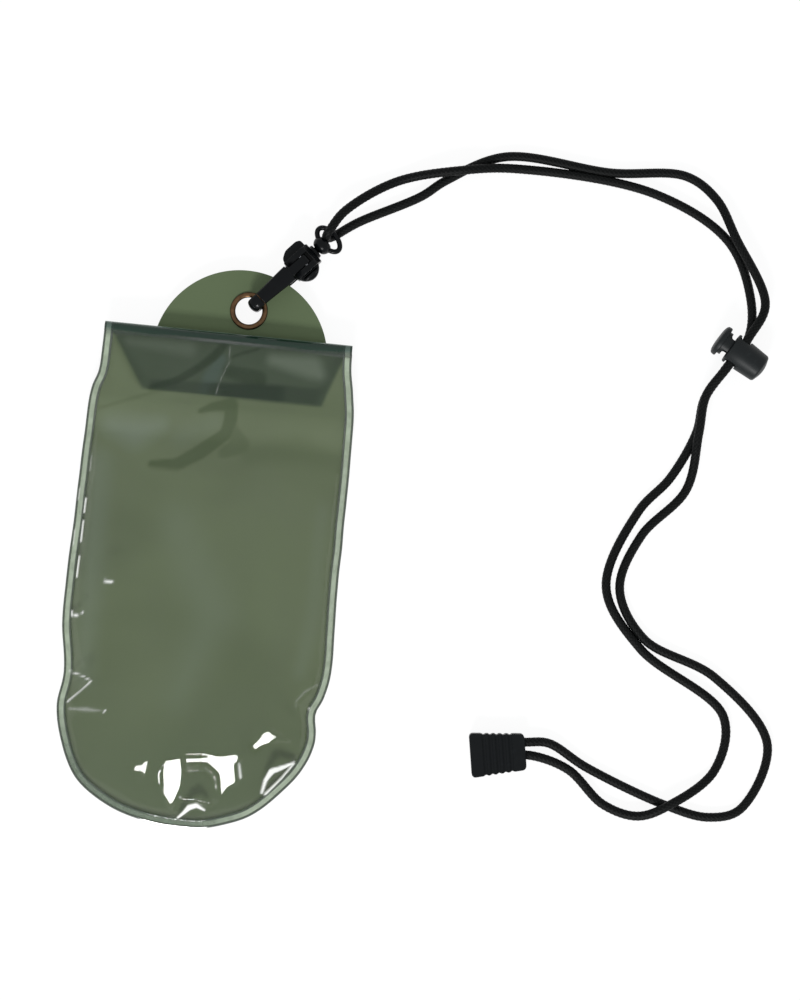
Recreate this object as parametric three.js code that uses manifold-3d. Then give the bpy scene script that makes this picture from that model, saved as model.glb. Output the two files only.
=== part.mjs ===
// Waterproof pouch with a folded closure, a hang tab, a snap hook and a doubled neck cord.
// Millimetres. X runs across the pouch, Y along it towards the hang tab, Z up.
// The origin is on the table, at the middle of the closed pouch. The clear front faces up.
import * as THREE from 'three';
import { mergeVertices } from 'three/addons/utils/BufferGeometryUtils.js';
import Module from 'manifold-3d';

const wasm = await Module();
wasm.setup();

// Clearance between touching pieces
const gap = 0.3;

// Plastic sheets
const sheetThickness = 0.5;
const filmThickness = 0.4;

// Outline of the closed pouch
const bodyHalfWidth = 49.6;
const topHalfWidth = 45.4;
const topFoldY = 91.1;
const shoulderLength = 41.1;
const shoulderY = topFoldY - shoulderLength;
const bottomCentreY = -42;
const bottomRadius = 48.6;
const sideRun = 10;
const notchY = bottomCentreY + 2;
const notchDepth = 2;
const notchHalfLength = 6;
const weldWidth = 3;

// Filled shape of the clear front
const fillHeight = 14;
const fillSlope = 34;
const fillRoundness = 2.2;
const fillFlatness = 0.8;
const fillTopY = shoulderY - 20;
const foldFill = 2.2;
const foldRun = 5.1;
const foldClearance = 0.7;

// Folded closure: the flap goes back under the body, the tongue comes out under the flap
const flapLength = 23.1;
const lowerCreaseY = topFoldY - flapLength;
const flapLeft = -30;
const flapRight = 36.5;
const lipEndY = lowerCreaseY + 1.6;
const stripThickness = 0.6;
const stripWidth = 5.5;
const stripMargin = 2.25;
const stripInset = 2;

// Hang tab
const tabCentreX = 4.5;
const tabSink = 8.6;
const tabCentreY = topFoldY - tabSink;
const tabRadius = 32.2;

// Eyelet
const eyeletOffset = 1.7;
const eyeletInset = 14.7;
const eyeletX = tabCentreX + eyeletOffset;
const eyeletY = tabCentreY + tabRadius - eyeletInset;
const eyeletBore = 4.9;
const eyeletWall = 0.4;
const flangeRadius = 6.9;
const flangeHeight = 0.7;
const clinchRadius = 6;
const clinchHeight = 0.3;
const washerHeight = 0.4;

// The upper layers rise from the table to the height at which the hook's spine carries the tab
const liftStartY = lowerCreaseY - 8;
const liftEndY = eyeletY - flangeRadius - 0.1;

// Snap hook, measured along its own axis from the middle of the eyelet
const hookAngle = 47.6;
const hookBase = 0.2;
const hookWidth = 5.2;
const spineHeight = 2.7;
const bendStart = 1.2;
const bendThickness = 2.4;
const bendRadius = 3.3;
const bendChamfer = 0.6;
const noseEnd = 6;
const jawTop = 10.4;
const gateHeight = 2.6;
const shoulderStart = 21;
const shoulderEnd = shoulderStart + 11;
const shoulderWidth = 8.4;
const lugWidth = 14.6;
const lugBase = 4.4;
const lugTop = 9.4;
const gatePinX = shoulderStart + 6;
const gatePinZ = jawTop - 0.2;
const gatePinRadius = 0.75;
const pinClearance = 0.2;
const knuckleRadius = 2;
const knuckleWidth = 3.4;
const springX = shoulderStart + 1.6;
const gateSpringRadius = 1.1;
const gateSpringWire = 0.5;
const springSeat = 0.5;
const cheekHeight = 1.6;

// Swivel
const swivelZ = 4.6;
const stemRadius = 1.3;
const headRadius = 2.2;
const headLength = 2;
const collarRadius = 3.5;
const collarLength = 3.1;
const bossRadius = 2.7;
const bossLength = 1.2;
const ringHalfWidth = 5.3;
const ringHalfLength = 2.9;
const ringWire = 0.95;

// Cord lock
const lockX = 185.6;
const lockY = 102.9;
const lockZ = 6;
const lockAngle = -30.5;
const barrelRadius = 5.9;
const barrelEndRadius = 5.4;
const barrelWall = 1.1;
const barrelFloor = 1.4;
const mouthWall = 1.05;
const plungerTravel = 3;
const plungerWeb = 1.3;
const plungerRecess = 3.05;
const plungerSpare = 0.5;
const buttonLength = 2.6;
const buttonClearance = 0.2;
const strandSpacing = 3.5;
const strandClear = 0.5;
const lockSpringRadius = 1.9;
const lockSpringWire = 0.6;

// Cord
const cordDiameter = 3.3;
const cordRest = cordDiameter / 2 + 0.1;
const cordSides = 8;
const stepsPerPoint = 2;

// Cord end
const endX = 113.1;
const endY = -51.2;
const endAngle = 5.8;
const endLength = 20.2;
const endWideHalf = 8.2;
const endNarrowHalf = 6.6;
const endBase = 0.1;
const endHeight = 6.6;
const endCorner = 1.5;
const ribPitch = 3;
const ribCount = 5;
const ribDepth = 0.55;
const ribHalf = 0.35;
const channelOffset = 0.92;
const channelSpacing = 4.8;
const channelDepth = 8.8;
const pegRadius = 1.2;
const pegX = -6;
const pegY = 4;
const pegSkin = 1.4;

// Route of the one cord, from the cord end through the lock, round the swivel ring and back
const cordRoute = [
  [116.0, -52.4, 3.4], [124.7, -51.5, 3.4], [139.5, -55.3, 1.75], [153.5, -66.7, 1.75], [166.4, -69.6, 3.2],
  [177.3, -64.4, 5.4], [192.9, -50.1, 1.9], [194.1, -30.1, 1.75], [161.3, -8.5, 1.75], [146.6, 12.7, 1.75],
  [155.5, 41.3, 1.75], [166.0, 54.9, 1.75], [173.8, 72.3, 1.75], [175.5, 85.0, 2.3],
  [182.1, 96.9, 4.25], [189.1, 108.9, 4.25],
  [188.7, 122.8, 2.1], [178.4, 143.2, 1.75], [149.9, 157.8, 1.75], [99.7, 161.9, 1.8], [79.0, 159.1, 5.4],
  [55.0, 152.6, 2.2], [37.4, 139.7, 6.2],
  [32.9, 132.5, 7.55], [31.9, 130.6, 6.7], [31.7, 129.5, 4.6], [32.8, 129.7, 2.55], [34.7, 130.8, 1.75],
  [42.6, 136.4, 1.75],
  [64.6, 148.2, 1.75], [73.2, 155.0, 1.75], [93.8, 165.8, 1.75], [133.1, 163.9, 1.75], [160.6, 165.4, 1.75],
  [172.4, 158.1, 2.6], [180.8, 144.5, 5.1], [193.9, 121.5, 5.5],
  [189.1, 108.9, 7.75], [182.1, 96.9, 7.75],
  [175.7, 86.1, 6.0], [174.5, 72.3, 5.2], [172.2, 51.1, 1.75], [157.5, 32.6, 1.75], [151.6, 12.5, 1.75],
  [162.4, -4.9, 1.75], [189.4, -16.2, 1.75], [211.2, -38.7, 1.75], [203.7, -63.4, 1.75], [192.4, -67.5, 1.75],
  [176.3, -64.7, 1.75], [146.0, -53.8, 1.75], [131.5, -46.4, 2.5], [124.2, -46.7, 3.4], [115.5, -47.6, 3.4],
];

// Frames of the hook, the lock and the cord end
const hookFrame = new THREE.Group();
hookFrame.position.set(eyeletX, eyeletY, 0);
hookFrame.rotation.z = THREE.MathUtils.degToRad(hookAngle);

const lockFrame = new THREE.Group();
lockFrame.position.set(lockX, lockY, lockZ);
lockFrame.rotation.z = THREE.MathUtils.degToRad(lockAngle);

const endFrame = new THREE.Group();
endFrame.position.set(endX, endY, endBase);
endFrame.rotation.z = THREE.MathUtils.degToRad(endAngle);

// Finishes
const sheetFinish = new THREE.MeshStandardMaterial({ color: 0x5c6a50, roughness: 0.55, metalness: 0 });
const filmFinish = new THREE.MeshStandardMaterial({ color: 0x9aa89a, roughness: 0.12, metalness: 0 });
const stripFinish = new THREE.MeshStandardMaterial({ color: 0x2e3c31, roughness: 0.9, metalness: 0 });
const brassFinish = new THREE.MeshStandardMaterial({ color: 0x7a5a34, roughness: 0.35, metalness: 1 });
const plasticFinish = new THREE.MeshStandardMaterial({ color: 0x17191b, roughness: 0.35, metalness: 0 });
const steelFinish = new THREE.MeshStandardMaterial({ color: 0x9a9da0, roughness: 0.3, metalness: 1 });
const braidFinish = new THREE.MeshStandardMaterial({ color: 0x121413, roughness: 0.85, metalness: 0 });

const pouch = new THREE.Group();

function addPiece(parent, name, geometry, material) {
  const mesh = new THREE.Mesh(geometry, material);
  mesh.name = name;
  parent.add(mesh);
}

function solidOf(geometry) {
  const plain = geometry.index ? geometry.toNonIndexed() : geometry.clone();
  plain.deleteAttribute('normal');
  plain.deleteAttribute('uv');
  const merged = mergeVertices(plain, 1e-4);
  return new wasm.Manifold(new wasm.Mesh({
    numProp: 3,
    vertProperties: new Float32Array(merged.attributes.position.array),
    triVerts: new Uint32Array(merged.index.array),
  }));
}

function geometryOf(solid) {
  const mesh = solid.getMesh();
  const geometry = new THREE.BufferGeometry();
  geometry.setAttribute('position', new THREE.BufferAttribute(mesh.vertProperties, 3));
  geometry.setIndex(new THREE.BufferAttribute(mesh.triVerts, 1));
  geometry.computeVertexNormals();
  return geometry;
}

function joined(geometries) {
  return geometries.map(solidOf).reduce((whole, part) => whole.add(part));
}

function cutFrom(solid, geometries) {
  return geometries.map(solidOf).reduce((rest, tool) => rest.subtract(tool), solid);
}

function block(xLow, xHigh, yLow, yHigh, zLow, zHigh) {
  const box = new THREE.BoxGeometry(xHigh - xLow, yHigh - yLow, zHigh - zLow);
  return box.translate((xLow + xHigh) / 2, (yLow + yHigh) / 2, (zLow + zHigh) / 2);
}

function rodAlongX(radius, xLow, xHigh, z, sides = 24) {
  const rod = new THREE.CylinderGeometry(radius, radius, xHigh - xLow, sides);
  return rod.rotateZ(-Math.PI / 2).translate((xLow + xHigh) / 2, 0, z);
}

function rodAlongY(radius, halfLength, x, z, sides = 16) {
  return new THREE.CylinderGeometry(radius, radius, 2 * halfLength, sides).translate(x, 0, z);
}

function rodAlongZ(radius, zLow, zHigh, x, y, sides = 32) {
  const rod = new THREE.CylinderGeometry(radius, radius, zHigh - zLow, sides);
  return rod.rotateX(Math.PI / 2).translate(x, y, (zLow + zHigh) / 2);
}

// A profile turned about the X axis, given as [distance along X, radius] pairs
function turnedAboutX(profile, sides = 32) {
  const points = profile.map(([x, radius]) => new THREE.Vector2(radius, x));
  return new THREE.LatheGeometry(points, sides).rotateZ(-Math.PI / 2);
}

// A profile turned about the Z axis, given as [radius, z] pairs
function turnedAboutZ(profile, sides = 40) {
  const points = profile.map(([radius, z]) => new THREE.Vector2(radius, z));
  return new THREE.LatheGeometry(points, sides).rotateX(Math.PI / 2);
}

// A side profile in X and Z, given its width across Y
function sideProfile(shape, width) {
  const solid = new THREE.ExtrudeGeometry(shape, { depth: width, bevelEnabled: false, curveSegments: 6 });
  return solid.translate(0, 0, -width / 2).rotateX(Math.PI / 2);
}

function plateFrom(shape, zLow, zHigh) {
  const solid = new THREE.ExtrudeGeometry(shape, { depth: zHigh - zLow, bevelEnabled: false, curveSegments: 6 });
  return solid.translate(0, 0, zLow);
}

function shapeThrough(points) {
  return new THREE.Shape(points.map(([x, y]) => new THREE.Vector2(x, y)));
}

// A closed solid round a grid of points on a sheet's middle surface
function sheetSolid(grid, thickness) {
  const rows = grid.length;
  const columns = grid[0].length;
  const positions = [];
  const offsets = grid.map((row, i) => row.map((_, j) => {
    const along = grid[Math.min(i + 1, rows - 1)][j].clone().sub(grid[Math.max(i - 1, 0)][j]);
    const across = grid[i][Math.min(j + 1, columns - 1)].clone().sub(grid[i][Math.max(j - 1, 0)]);
    return across.cross(along).normalize().multiplyScalar(thickness / 2);
  }));
  for (const sign of [1, -1]) {
    grid.forEach((row, i) => row.forEach((point, j) => {
      positions.push(...point.clone().addScaledVector(offsets[i][j], sign).toArray());
    }));
  }
  const index = [];
  const upper = (i, j) => i * columns + j;
  const lower = (i, j) => rows * columns + upper(i, j);
  const quad = (a, b, c, d) => index.push(a, b, c, a, c, d);
  for (let i = 0; i + 1 < rows; i += 1) {
    for (let j = 0; j + 1 < columns; j += 1) {
      quad(upper(i, j), upper(i, j + 1), upper(i + 1, j + 1), upper(i + 1, j));
      quad(lower(i, j), lower(i + 1, j), lower(i + 1, j + 1), lower(i, j + 1));
    }
    quad(upper(i, 0), upper(i + 1, 0), lower(i + 1, 0), lower(i, 0));
    quad(upper(i + 1, columns - 1), upper(i, columns - 1), lower(i, columns - 1), lower(i + 1, columns - 1));
  }
  for (let j = 0; j + 1 < columns; j += 1) {
    quad(upper(0, j + 1), upper(0, j), lower(0, j), lower(0, j + 1));
    quad(upper(rows - 1, j), upper(rows - 1, j + 1), lower(rows - 1, j + 1), lower(rows - 1, j));
  }
  const geometry = new THREE.BufferGeometry();
  geometry.setAttribute('position', new THREE.Float32BufferAttribute(positions, 3));
  geometry.setIndex(index);
  geometry.computeVertexNormals();
  return geometry;
}

// A closed ring of round wire along an ellipse in the XY plane
function wireOval(halfX, halfY, wire, turns = 32, sides = 10) {
  const positions = [];
  const index = [];
  for (let i = 0; i < turns; i += 1) {
    const turn = (2 * Math.PI * i) / turns;
    const outward = new THREE.Vector2(halfY * Math.cos(turn), halfX * Math.sin(turn)).normalize();
    for (let j = 0; j < sides; j += 1) {
      const around = (2 * Math.PI * j) / sides;
      const reach = wire * Math.cos(around);
      positions.push(halfX * Math.cos(turn) + outward.x * reach, halfY * Math.sin(turn) + outward.y * reach,
        wire * Math.sin(around));
      const next = ((i + 1) % turns) * sides;
      const a = i * sides + j;
      const b = next + j;
      const c = next + ((j + 1) % sides);
      const d = i * sides + ((j + 1) % sides);
      index.push(a, b, c, a, c, d);
    }
  }
  const geometry = new THREE.BufferGeometry();
  geometry.setAttribute('position', new THREE.Float32BufferAttribute(positions, 3));
  geometry.setIndex(index);
  geometry.computeVertexNormals();
  return geometry;
}

function regularSection(radius, sides) {
  const corners = Array.from({ length: sides }, (_, i) => {
    const angle = (2 * Math.PI * (i + 0.5)) / sides;
    return new THREE.Vector2(radius * Math.cos(angle), radius * Math.sin(angle));
  });
  return new THREE.Shape(corners);
}

// The centre line of a coil spring that winds about the Z axis
class CoilPath extends THREE.Curve {
  constructor(radius, height, turns) {
    super();
    this.radius = radius;
    this.height = height;
    this.turns = turns;
  }

  getPoint(t, target = new THREE.Vector3()) {
    const angle = 2 * Math.PI * this.turns * t;
    return target.set(this.radius * Math.cos(angle), this.radius * Math.sin(angle), this.height * t);
  }
}

function coilSpring(radius, wire, length, turns) {
  const path = new CoilPath(radius, length - wire, turns);
  return new THREE.ExtrudeGeometry(regularSection(wire / 2, 6), {
    extrudePath: path, steps: turns * 12, bevelEnabled: false,
  }).translate(0, 0, wire / 2);
}

// Heights of the layers, from the table up
const lapStep = (low, high, y) => THREE.MathUtils.smoothstep(y, low, high);
const lip = sheetThickness + gap + filmThickness / 2;
const flapSheet = lip + filmThickness / 2 + gap + sheetThickness / 2;
const stripsTop = flapSheet + sheetThickness / 2 + gap / 2 + 2 * stripThickness + gap;
const bodySheet = stripsTop + gap / 2 + sheetThickness / 2;
const tabZ = hookBase + spineHeight + gap + clinchHeight + gap / 2 + washerHeight + gap / 2;

const lift = (y) => tabZ * lapStep(liftStartY, liftEndY, y);

function bodySheetZ(y) {
  const flat = sheetThickness / 2;
  return flat + (bodySheet - flat) * lapStep(shoulderY, lowerCreaseY - 3, y) + lift(y);
}

function notch(y) {
  const away = Math.abs(y - notchY) / notchHalfLength;
  return away < 1 ? (notchDepth * (1 + Math.cos(Math.PI * away))) / 2 : 0;
}

function halfWidth(y) {
  if (y < bottomCentreY) {
    return Math.sqrt(bottomRadius ** 2 - (bottomCentreY - y) ** 2) - notch(y);
  }
  const side = THREE.MathUtils.lerp(bottomRadius, bodyHalfWidth, lapStep(bottomCentreY, bottomCentreY + sideRun, y));
  return THREE.MathUtils.lerp(side, topHalfWidth, lapStep(shoulderY, topFoldY, y)) - notch(y);
}

// Distance from a point of the body to the inner line of its weld
function insideWeld(x, y) {
  if (y < bottomCentreY) {
    return bottomRadius - weldWidth - notch(y) - Math.hypot(x, y - bottomCentreY);
  }
  return halfWidth(y) - weldWidth - Math.abs(x);
}

function fill(x, y) {
  const reach = THREE.MathUtils.clamp(insideWeld(x, y) / fillSlope, 0, 1);
  const height = THREE.MathUtils.lerp(fillHeight, foldFill, lapStep(fillTopY, topFoldY - foldRun, y));
  return height * (1 - (1 - reach) ** fillRoundness) ** fillFlatness;
}

const levels = (from, to, count) => Array.from({ length: count }, (_, i) => (
  THREE.MathUtils.lerp(from, to, i / (count - 1))));

const foldStartY = topFoldY - foldRun;
const filmRest = sheetThickness / 2 + gap + filmThickness / 2;
const filmZ = (x, y) => bodySheetZ(y) + filmRest + fill(x, y);

// Rows of the body, shared by its two layers
const bottomRows = 10;
const bodyRows = [];
for (let i = 0; i <= bottomRows; i += 1) {
  const angle = THREE.MathUtils.lerp(0.03, 0.5, i / bottomRows) * Math.PI;
  bodyRows.push(bottomCentreY - bottomRadius * Math.cos(angle));
}
bodyRows.push(bottomCentreY + 4, bottomCentreY + 8);
bodyRows.push(...levels(bottomCentreY + 22, shoulderY, 5), ...levels(shoulderY + 5, foldStartY - 5, 6));

function rowAcross(left, right, columns, place) {
  return Array.from({ length: columns }, (_, j) => {
    const x = THREE.MathUtils.lerp(left, right, j / (columns - 1));
    return place(x);
  });
}

// The flap narrows from the fold at the top to the lower crease
function flapSides(y) {
  const share = THREE.MathUtils.clamp((topFoldY - y) / (topFoldY - lowerCreaseY), 0, 1);
  return [THREE.MathUtils.lerp(-topHalfWidth + 1, flapLeft, share),
    THREE.MathUtils.lerp(topHalfWidth - 1, flapRight, share)];
}

function tongueSides(y) {
  const half = y > tabCentreY ? Math.sqrt(Math.max(tabRadius ** 2 - (y - tabCentreY) ** 2, 0)) : tabRadius;
  return [tabCentreX - half, tabCentreX + half];
}

const sheetFoldRadius = (bodySheet - flapSheet) / 2;
const sheetFoldY = topFoldY - foldClearance - 2 * sheetFoldRadius;
const creaseRadius = (flapSheet - sheetThickness / 2) / 2;

function backSheet() {
  const columns = 10;
  const middle = sheetThickness / 2;
  const grid = [];
  const addRow = ([left, right], y, z) => {
    grid.push(rowAcross(left, right, columns, (x) => new THREE.Vector3(x, y, z)));
  };
  for (const y of bodyRows) {
    addRow([-halfWidth(y), halfWidth(y)], y, bodySheetZ(y));
  }
  const foldLift = lift(sheetFoldY);
  for (let i = 0; i <= 6; i += 1) {
    const angle = Math.PI * (0.5 - i / 6);
    const y = sheetFoldY + sheetFoldRadius * Math.cos(angle);
    const side = THREE.MathUtils.lerp(halfWidth(sheetFoldY), topHalfWidth - 1, i / 6);
    addRow([-side, side], y, flapSheet + sheetFoldRadius * (1 + Math.sin(angle)) + foldLift);
  }
  for (const y of levels(sheetFoldY - 4, lowerCreaseY + 2, 4)) {
    addRow(flapSides(y), y, flapSheet + lift(y));
  }
  for (let i = 0; i <= 5; i += 1) {
    const angle = Math.PI * (0.5 + i / 5);
    const y = lowerCreaseY + creaseRadius + creaseRadius * Math.cos(angle);
    addRow(flapSides(lowerCreaseY), y, middle + creaseRadius * (1 + Math.sin(angle)) + lift(y));
  }
  for (const y of levels(lowerCreaseY + 2, tabCentreY, 4)) {
    addRow(tongueSides(y), y, middle + lift(y));
  }
  for (let i = 1; i <= 10; i += 1) {
    const y = tabCentreY + tabRadius * Math.sin(0.46 * Math.PI * (i / 10));
    addRow(tongueSides(y), y, middle + lift(y));
  }
  const hole = rodAlongZ(eyeletBore + eyeletWall + gap, 0, tabZ + 5, eyeletX, eyeletY);
  return geometryOf(cutFrom(solidOf(sheetSolid(grid, sheetThickness)), [hole]));
}

function frontFilm() {
  const columns = 19;
  const grid = bodyRows.map((y) => rowAcross(-halfWidth(y), halfWidth(y), columns, (x) => (
    new THREE.Vector3(x, y, filmZ(x, y)))));
  const half = halfWidth(topFoldY);
  grid.push(rowAcross(-half, half, columns, (x) => {
    const radius = foldRadius(x);
    return new THREE.Vector3(x, foldStartY, lip + 2 * radius + lift(foldStartY));
  }));
  for (let i = 0; i <= 8; i += 1) {
    const angle = Math.PI * (0.5 - i / 8);
    grid.push(rowAcross(-half, half, columns, (x) => {
      const radius = foldRadius(x);
      const y = topFoldY - filmThickness / 2 - radius + radius * Math.cos(angle);
      return new THREE.Vector3(x, y, lip + radius * (1 + Math.sin(angle)) + lift(topFoldY));
    }));
  }
  for (const y of levels(foldStartY - 2, lipEndY, 4)) {
    const [left, right] = flapSides(y);
    grid.push(rowAcross(left, right, columns, (x) => new THREE.Vector3(x, y, lip + lift(y))));
  }
  return sheetSolid(grid, filmThickness);
}

function foldRadius(x) {
  const swell = foldFill * (1 - (Math.abs(x) / topHalfWidth) ** 4);
  return (bodySheet + filmRest + swell - lip) / 2;
}

// A closure strip that follows the lifted layers, its middle at a height above the tongue's underside
function closureStrip(height) {
  const start = lowerCreaseY + stripInset;
  const left = flapLeft + stripMargin;
  const right = flapRight - stripMargin;
  const grid = [0, 0.5, 1].map((share) => {
    const y = start + stripWidth * share;
    return rowAcross(left, right, 5, (x) => (
      new THREE.Vector3(x, y, height + lift(y))));
  });
  return sheetSolid(grid, stripThickness);
}

const hookStripZ = flapSheet + sheetThickness / 2 + gap / 2 + stripThickness / 2;
const loopStripZ = hookStripZ + stripThickness + gap;
addPiece(pouch, 'back_sheet', backSheet(), sheetFinish);
addPiece(pouch, 'front_film', frontFilm(), filmFinish);
addPiece(pouch, 'hook_strip', closureStrip(hookStripZ), stripFinish);
addPiece(pouch, 'loop_strip', closureStrip(loopStripZ), stripFinish);

// Eyelet: the barrel's flange is above the tab, its clinched end holds the washer below
const tabTop = tabZ + sheetThickness;
const flangeBase = tabTop + gap / 2;
const clinchBase = hookBase + spineHeight + gap;
const barrelOuter = eyeletBore + eyeletWall;

function eyeletBarrel() {
  return turnedAboutZ([
    [eyeletBore, clinchBase], [clinchRadius, clinchBase], [clinchRadius, clinchBase + clinchHeight],
    [barrelOuter, clinchBase + clinchHeight], [barrelOuter, flangeBase], [flangeRadius, flangeBase],
    [flangeRadius - 0.15, flangeBase + flangeHeight * 0.6], [(flangeRadius + eyeletBore) / 2, flangeBase + flangeHeight],
    [eyeletBore + 0.2, flangeBase + flangeHeight * 0.7], [eyeletBore, flangeBase], [eyeletBore, clinchBase],
  ]).translate(eyeletX, eyeletY, 0);
}

function eyeletWasher() {
  const low = clinchBase + clinchHeight + gap / 2;
  return turnedAboutZ([
    [barrelOuter + gap, low], [flangeRadius, low], [flangeRadius, low + washerHeight],
    [barrelOuter + gap, low + washerHeight], [barrelOuter + gap, low],
  ]).translate(eyeletX, eyeletY, 0);
}

addPiece(pouch, 'eyelet_barrel', eyeletBarrel(), brassFinish);
addPiece(pouch, 'eyelet_washer', eyeletWasher(), brassFinish);

// Snap hook
const gateTop = jawTop + gateHeight;
const spineTop = hookBase + spineHeight;
const bendEnd = bendStart + bendThickness;
const cheekTop = gatePinZ + cheekHeight;
const slotFloor = gatePinZ - knuckleRadius - gap;
const headStart = shoulderEnd - 4;

function hookBend() {
  const shape = new THREE.Shape();
  shape.moveTo(shoulderEnd, hookBase);
  shape.lineTo(bendStart + bendRadius, hookBase);
  shape.absarc(bendStart + bendRadius, hookBase + bendRadius, bendRadius, -Math.PI / 2, -Math.PI, true);
  shape.lineTo(bendStart, gateTop - bendRadius);
  shape.absarc(bendStart + bendRadius, gateTop - bendRadius, bendRadius, Math.PI, Math.PI / 2, true);
  shape.lineTo(noseEnd, gateTop);
  shape.lineTo(noseEnd, jawTop);
  shape.lineTo(bendEnd + bendChamfer, jawTop);
  shape.lineTo(bendEnd, jawTop - bendChamfer);
  shape.lineTo(bendEnd, spineTop + bendChamfer);
  shape.lineTo(bendEnd + bendChamfer, spineTop);
  shape.lineTo(shoulderEnd, spineTop);
  return sideProfile(shape, hookWidth);
}

function hookShoulder() {
  return sideProfile(shapeThrough([
    [shoulderStart, hookBase], [shoulderEnd, hookBase], [shoulderEnd, gatePinZ - 2],
    [gatePinX + 3.2, cheekTop - 0.8], [gatePinX + 2, cheekTop], [gatePinX - 2, cheekTop],
    [shoulderStart + 0.6, lugTop + 0.3], [shoulderStart, lugTop - 0.5],
  ]), shoulderWidth);
}

// The finger lugs: a squared one on the left and an arched one on the right
function hookLugs() {
  const inner = shoulderWidth / 2 - 0.5;
  const outer = lugWidth / 2;
  const squared = shapeThrough([
    [shoulderStart + 0.2, inner], [shoulderEnd - 0.8, inner], [shoulderEnd - 0.8, outer - 1.4],
    [shoulderEnd - 2.4, outer], [shoulderStart + 3.6, outer], [shoulderStart + 0.6, outer - 2],
  ]);
  const arched = new THREE.Shape();
  arched.moveTo(shoulderStart, -inner);
  arched.bezierCurveTo(shoulderStart + 1.5, -inner - 1, shoulderStart + 1.5, -outer, shoulderStart + 4, -outer);
  arched.bezierCurveTo(shoulderEnd - 3, -outer, shoulderEnd - 0.4, -outer + 0.6, shoulderEnd - 0.4, -inner);
  return [plateFrom(squared, lugBase, lugTop), plateFrom(arched, lugBase, lugTop)];
}

function hookBody() {
  const boss = rodAlongX(bossRadius, shoulderEnd - 1, shoulderEnd + bossLength, swivelZ);
  const whole = joined([hookBend(), hookShoulder(), ...hookLugs(), boss]);
  const knuckleHalf = knuckleWidth / 2 + gap;
  const headHalf = headRadius + gap;
  return geometryOf(cutFrom(whole, [
    block(shoulderStart - 1, gatePinX + knuckleRadius + 1, -knuckleHalf, knuckleHalf, slotFloor, gateTop),
    rodAlongZ(gateSpringRadius + gateSpringWire / 2 + gap, spineTop + springSeat, gateTop, springX, 0, 20),
    rodAlongY(gatePinRadius + pinClearance, lugWidth, gatePinX, gatePinZ),
    rodAlongX(stemRadius + gap, headStart, shoulderEnd + bossLength + 1, swivelZ, 20),
    block(headStart - gap, headStart + headLength + gap, -headHalf, headHalf, hookBase - 1, swivelZ + headHalf),
  ]));
}

function hookGate() {
  const start = noseEnd + gap;
  const narrow = shoulderStart - 0.6;
  const bar = sideProfile(shapeThrough([
    [start, jawTop], [narrow, jawTop], [narrow, gateTop], [start, gateTop],
  ]), hookWidth);
  const tail = sideProfile(shapeThrough([
    [narrow - 1, jawTop], [gatePinX, jawTop], [gatePinX, gatePinZ + knuckleRadius], [narrow - 1, gateTop],
  ]), knuckleWidth);
  const knuckle = rodAlongY(knuckleRadius, knuckleWidth / 2, gatePinX, gatePinZ, 20);
  const bore = rodAlongY(gatePinRadius + pinClearance, knuckleWidth, gatePinX, gatePinZ);
  return geometryOf(cutFrom(joined([bar, tail, knuckle]), [bore]));
}

function swivelRing() {
  const collarStart = shoulderEnd + bossLength + gap;
  const collarEnd = collarStart + collarLength;
  const shaft = turnedAboutX([
    [headStart, 0], [headStart, headRadius], [headStart + headLength, headRadius],
    [headStart + headLength, stemRadius], [collarStart, stemRadius], [collarStart, collarRadius - 1],
    [collarStart + 0.8, collarRadius], [collarEnd - 0.8, collarRadius], [collarEnd, collarRadius - 1.2],
    [collarEnd, 0],
  ], 24).translate(0, 0, swivelZ);
  const oval = wireOval(ringHalfLength, ringHalfWidth, ringWire);
  const ringCentre = collarEnd - 0.4 + ringHalfLength;
  return geometryOf(joined([shaft, oval.translate(ringCentre, 0, swivelZ)]));
}

const springBase = spineTop + springSeat + gap;
const gateSpring = coilSpring(gateSpringRadius, gateSpringWire, jawTop - gap - springBase, 6);
gateSpring.translate(springX, 0, springBase);
const gatePin = rodAlongY(gatePinRadius, shoulderWidth / 2, gatePinX, gatePinZ);
addPiece(hookFrame, 'hook_body', hookBody(), plasticFinish);
addPiece(hookFrame, 'hook_gate', hookGate(), plasticFinish);
addPiece(hookFrame, 'gate_pin', gatePin, steelFinish);
addPiece(hookFrame, 'gate_spring', gateSpring, steelFinish);
addPiece(hookFrame, 'swivel_ring', swivelRing(), plasticFinish);

// Cord lock, with its axis along X and the strands crossing it along Y
const slotHalf = cordDiameter / 2 + strandClear;
const barrelMouth = -slotHalf - mouthWall;
const recessFloor = slotHalf + plungerWeb;
const plungerEnd = recessFloor + plungerRecess;
const barrelEnd = plungerEnd + plungerTravel + plungerSpare + barrelFloor;
const strandHalfHeight = strandSpacing / 2 + cordDiameter / 2 + gap;
const boreRadius = barrelRadius - barrelWall;
const plungerRadius = boreRadius - gap;
const buttonInner = barrelMouth - plungerTravel - buttonClearance;

function lockBarrel() {
  const cup = turnedAboutX([
    [barrelMouth, boreRadius], [barrelMouth, barrelRadius - 0.4], [barrelMouth + 0.5, barrelRadius],
    [barrelEnd - 2, barrelEndRadius + 0.2], [barrelEnd - 0.6, barrelEndRadius - 0.3], [barrelEnd, barrelEndRadius - 1.4],
    [barrelEnd, 0], [barrelEnd - barrelFloor, 0], [barrelEnd - barrelFloor, boreRadius], [barrelMouth, boreRadius],
  ]);
  const slot = block(-slotHalf, slotHalf, -barrelRadius - 1, barrelRadius + 1, -strandHalfHeight, strandHalfHeight);
  return geometryOf(cutFrom(solidOf(cup), [slot]));
}

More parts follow.
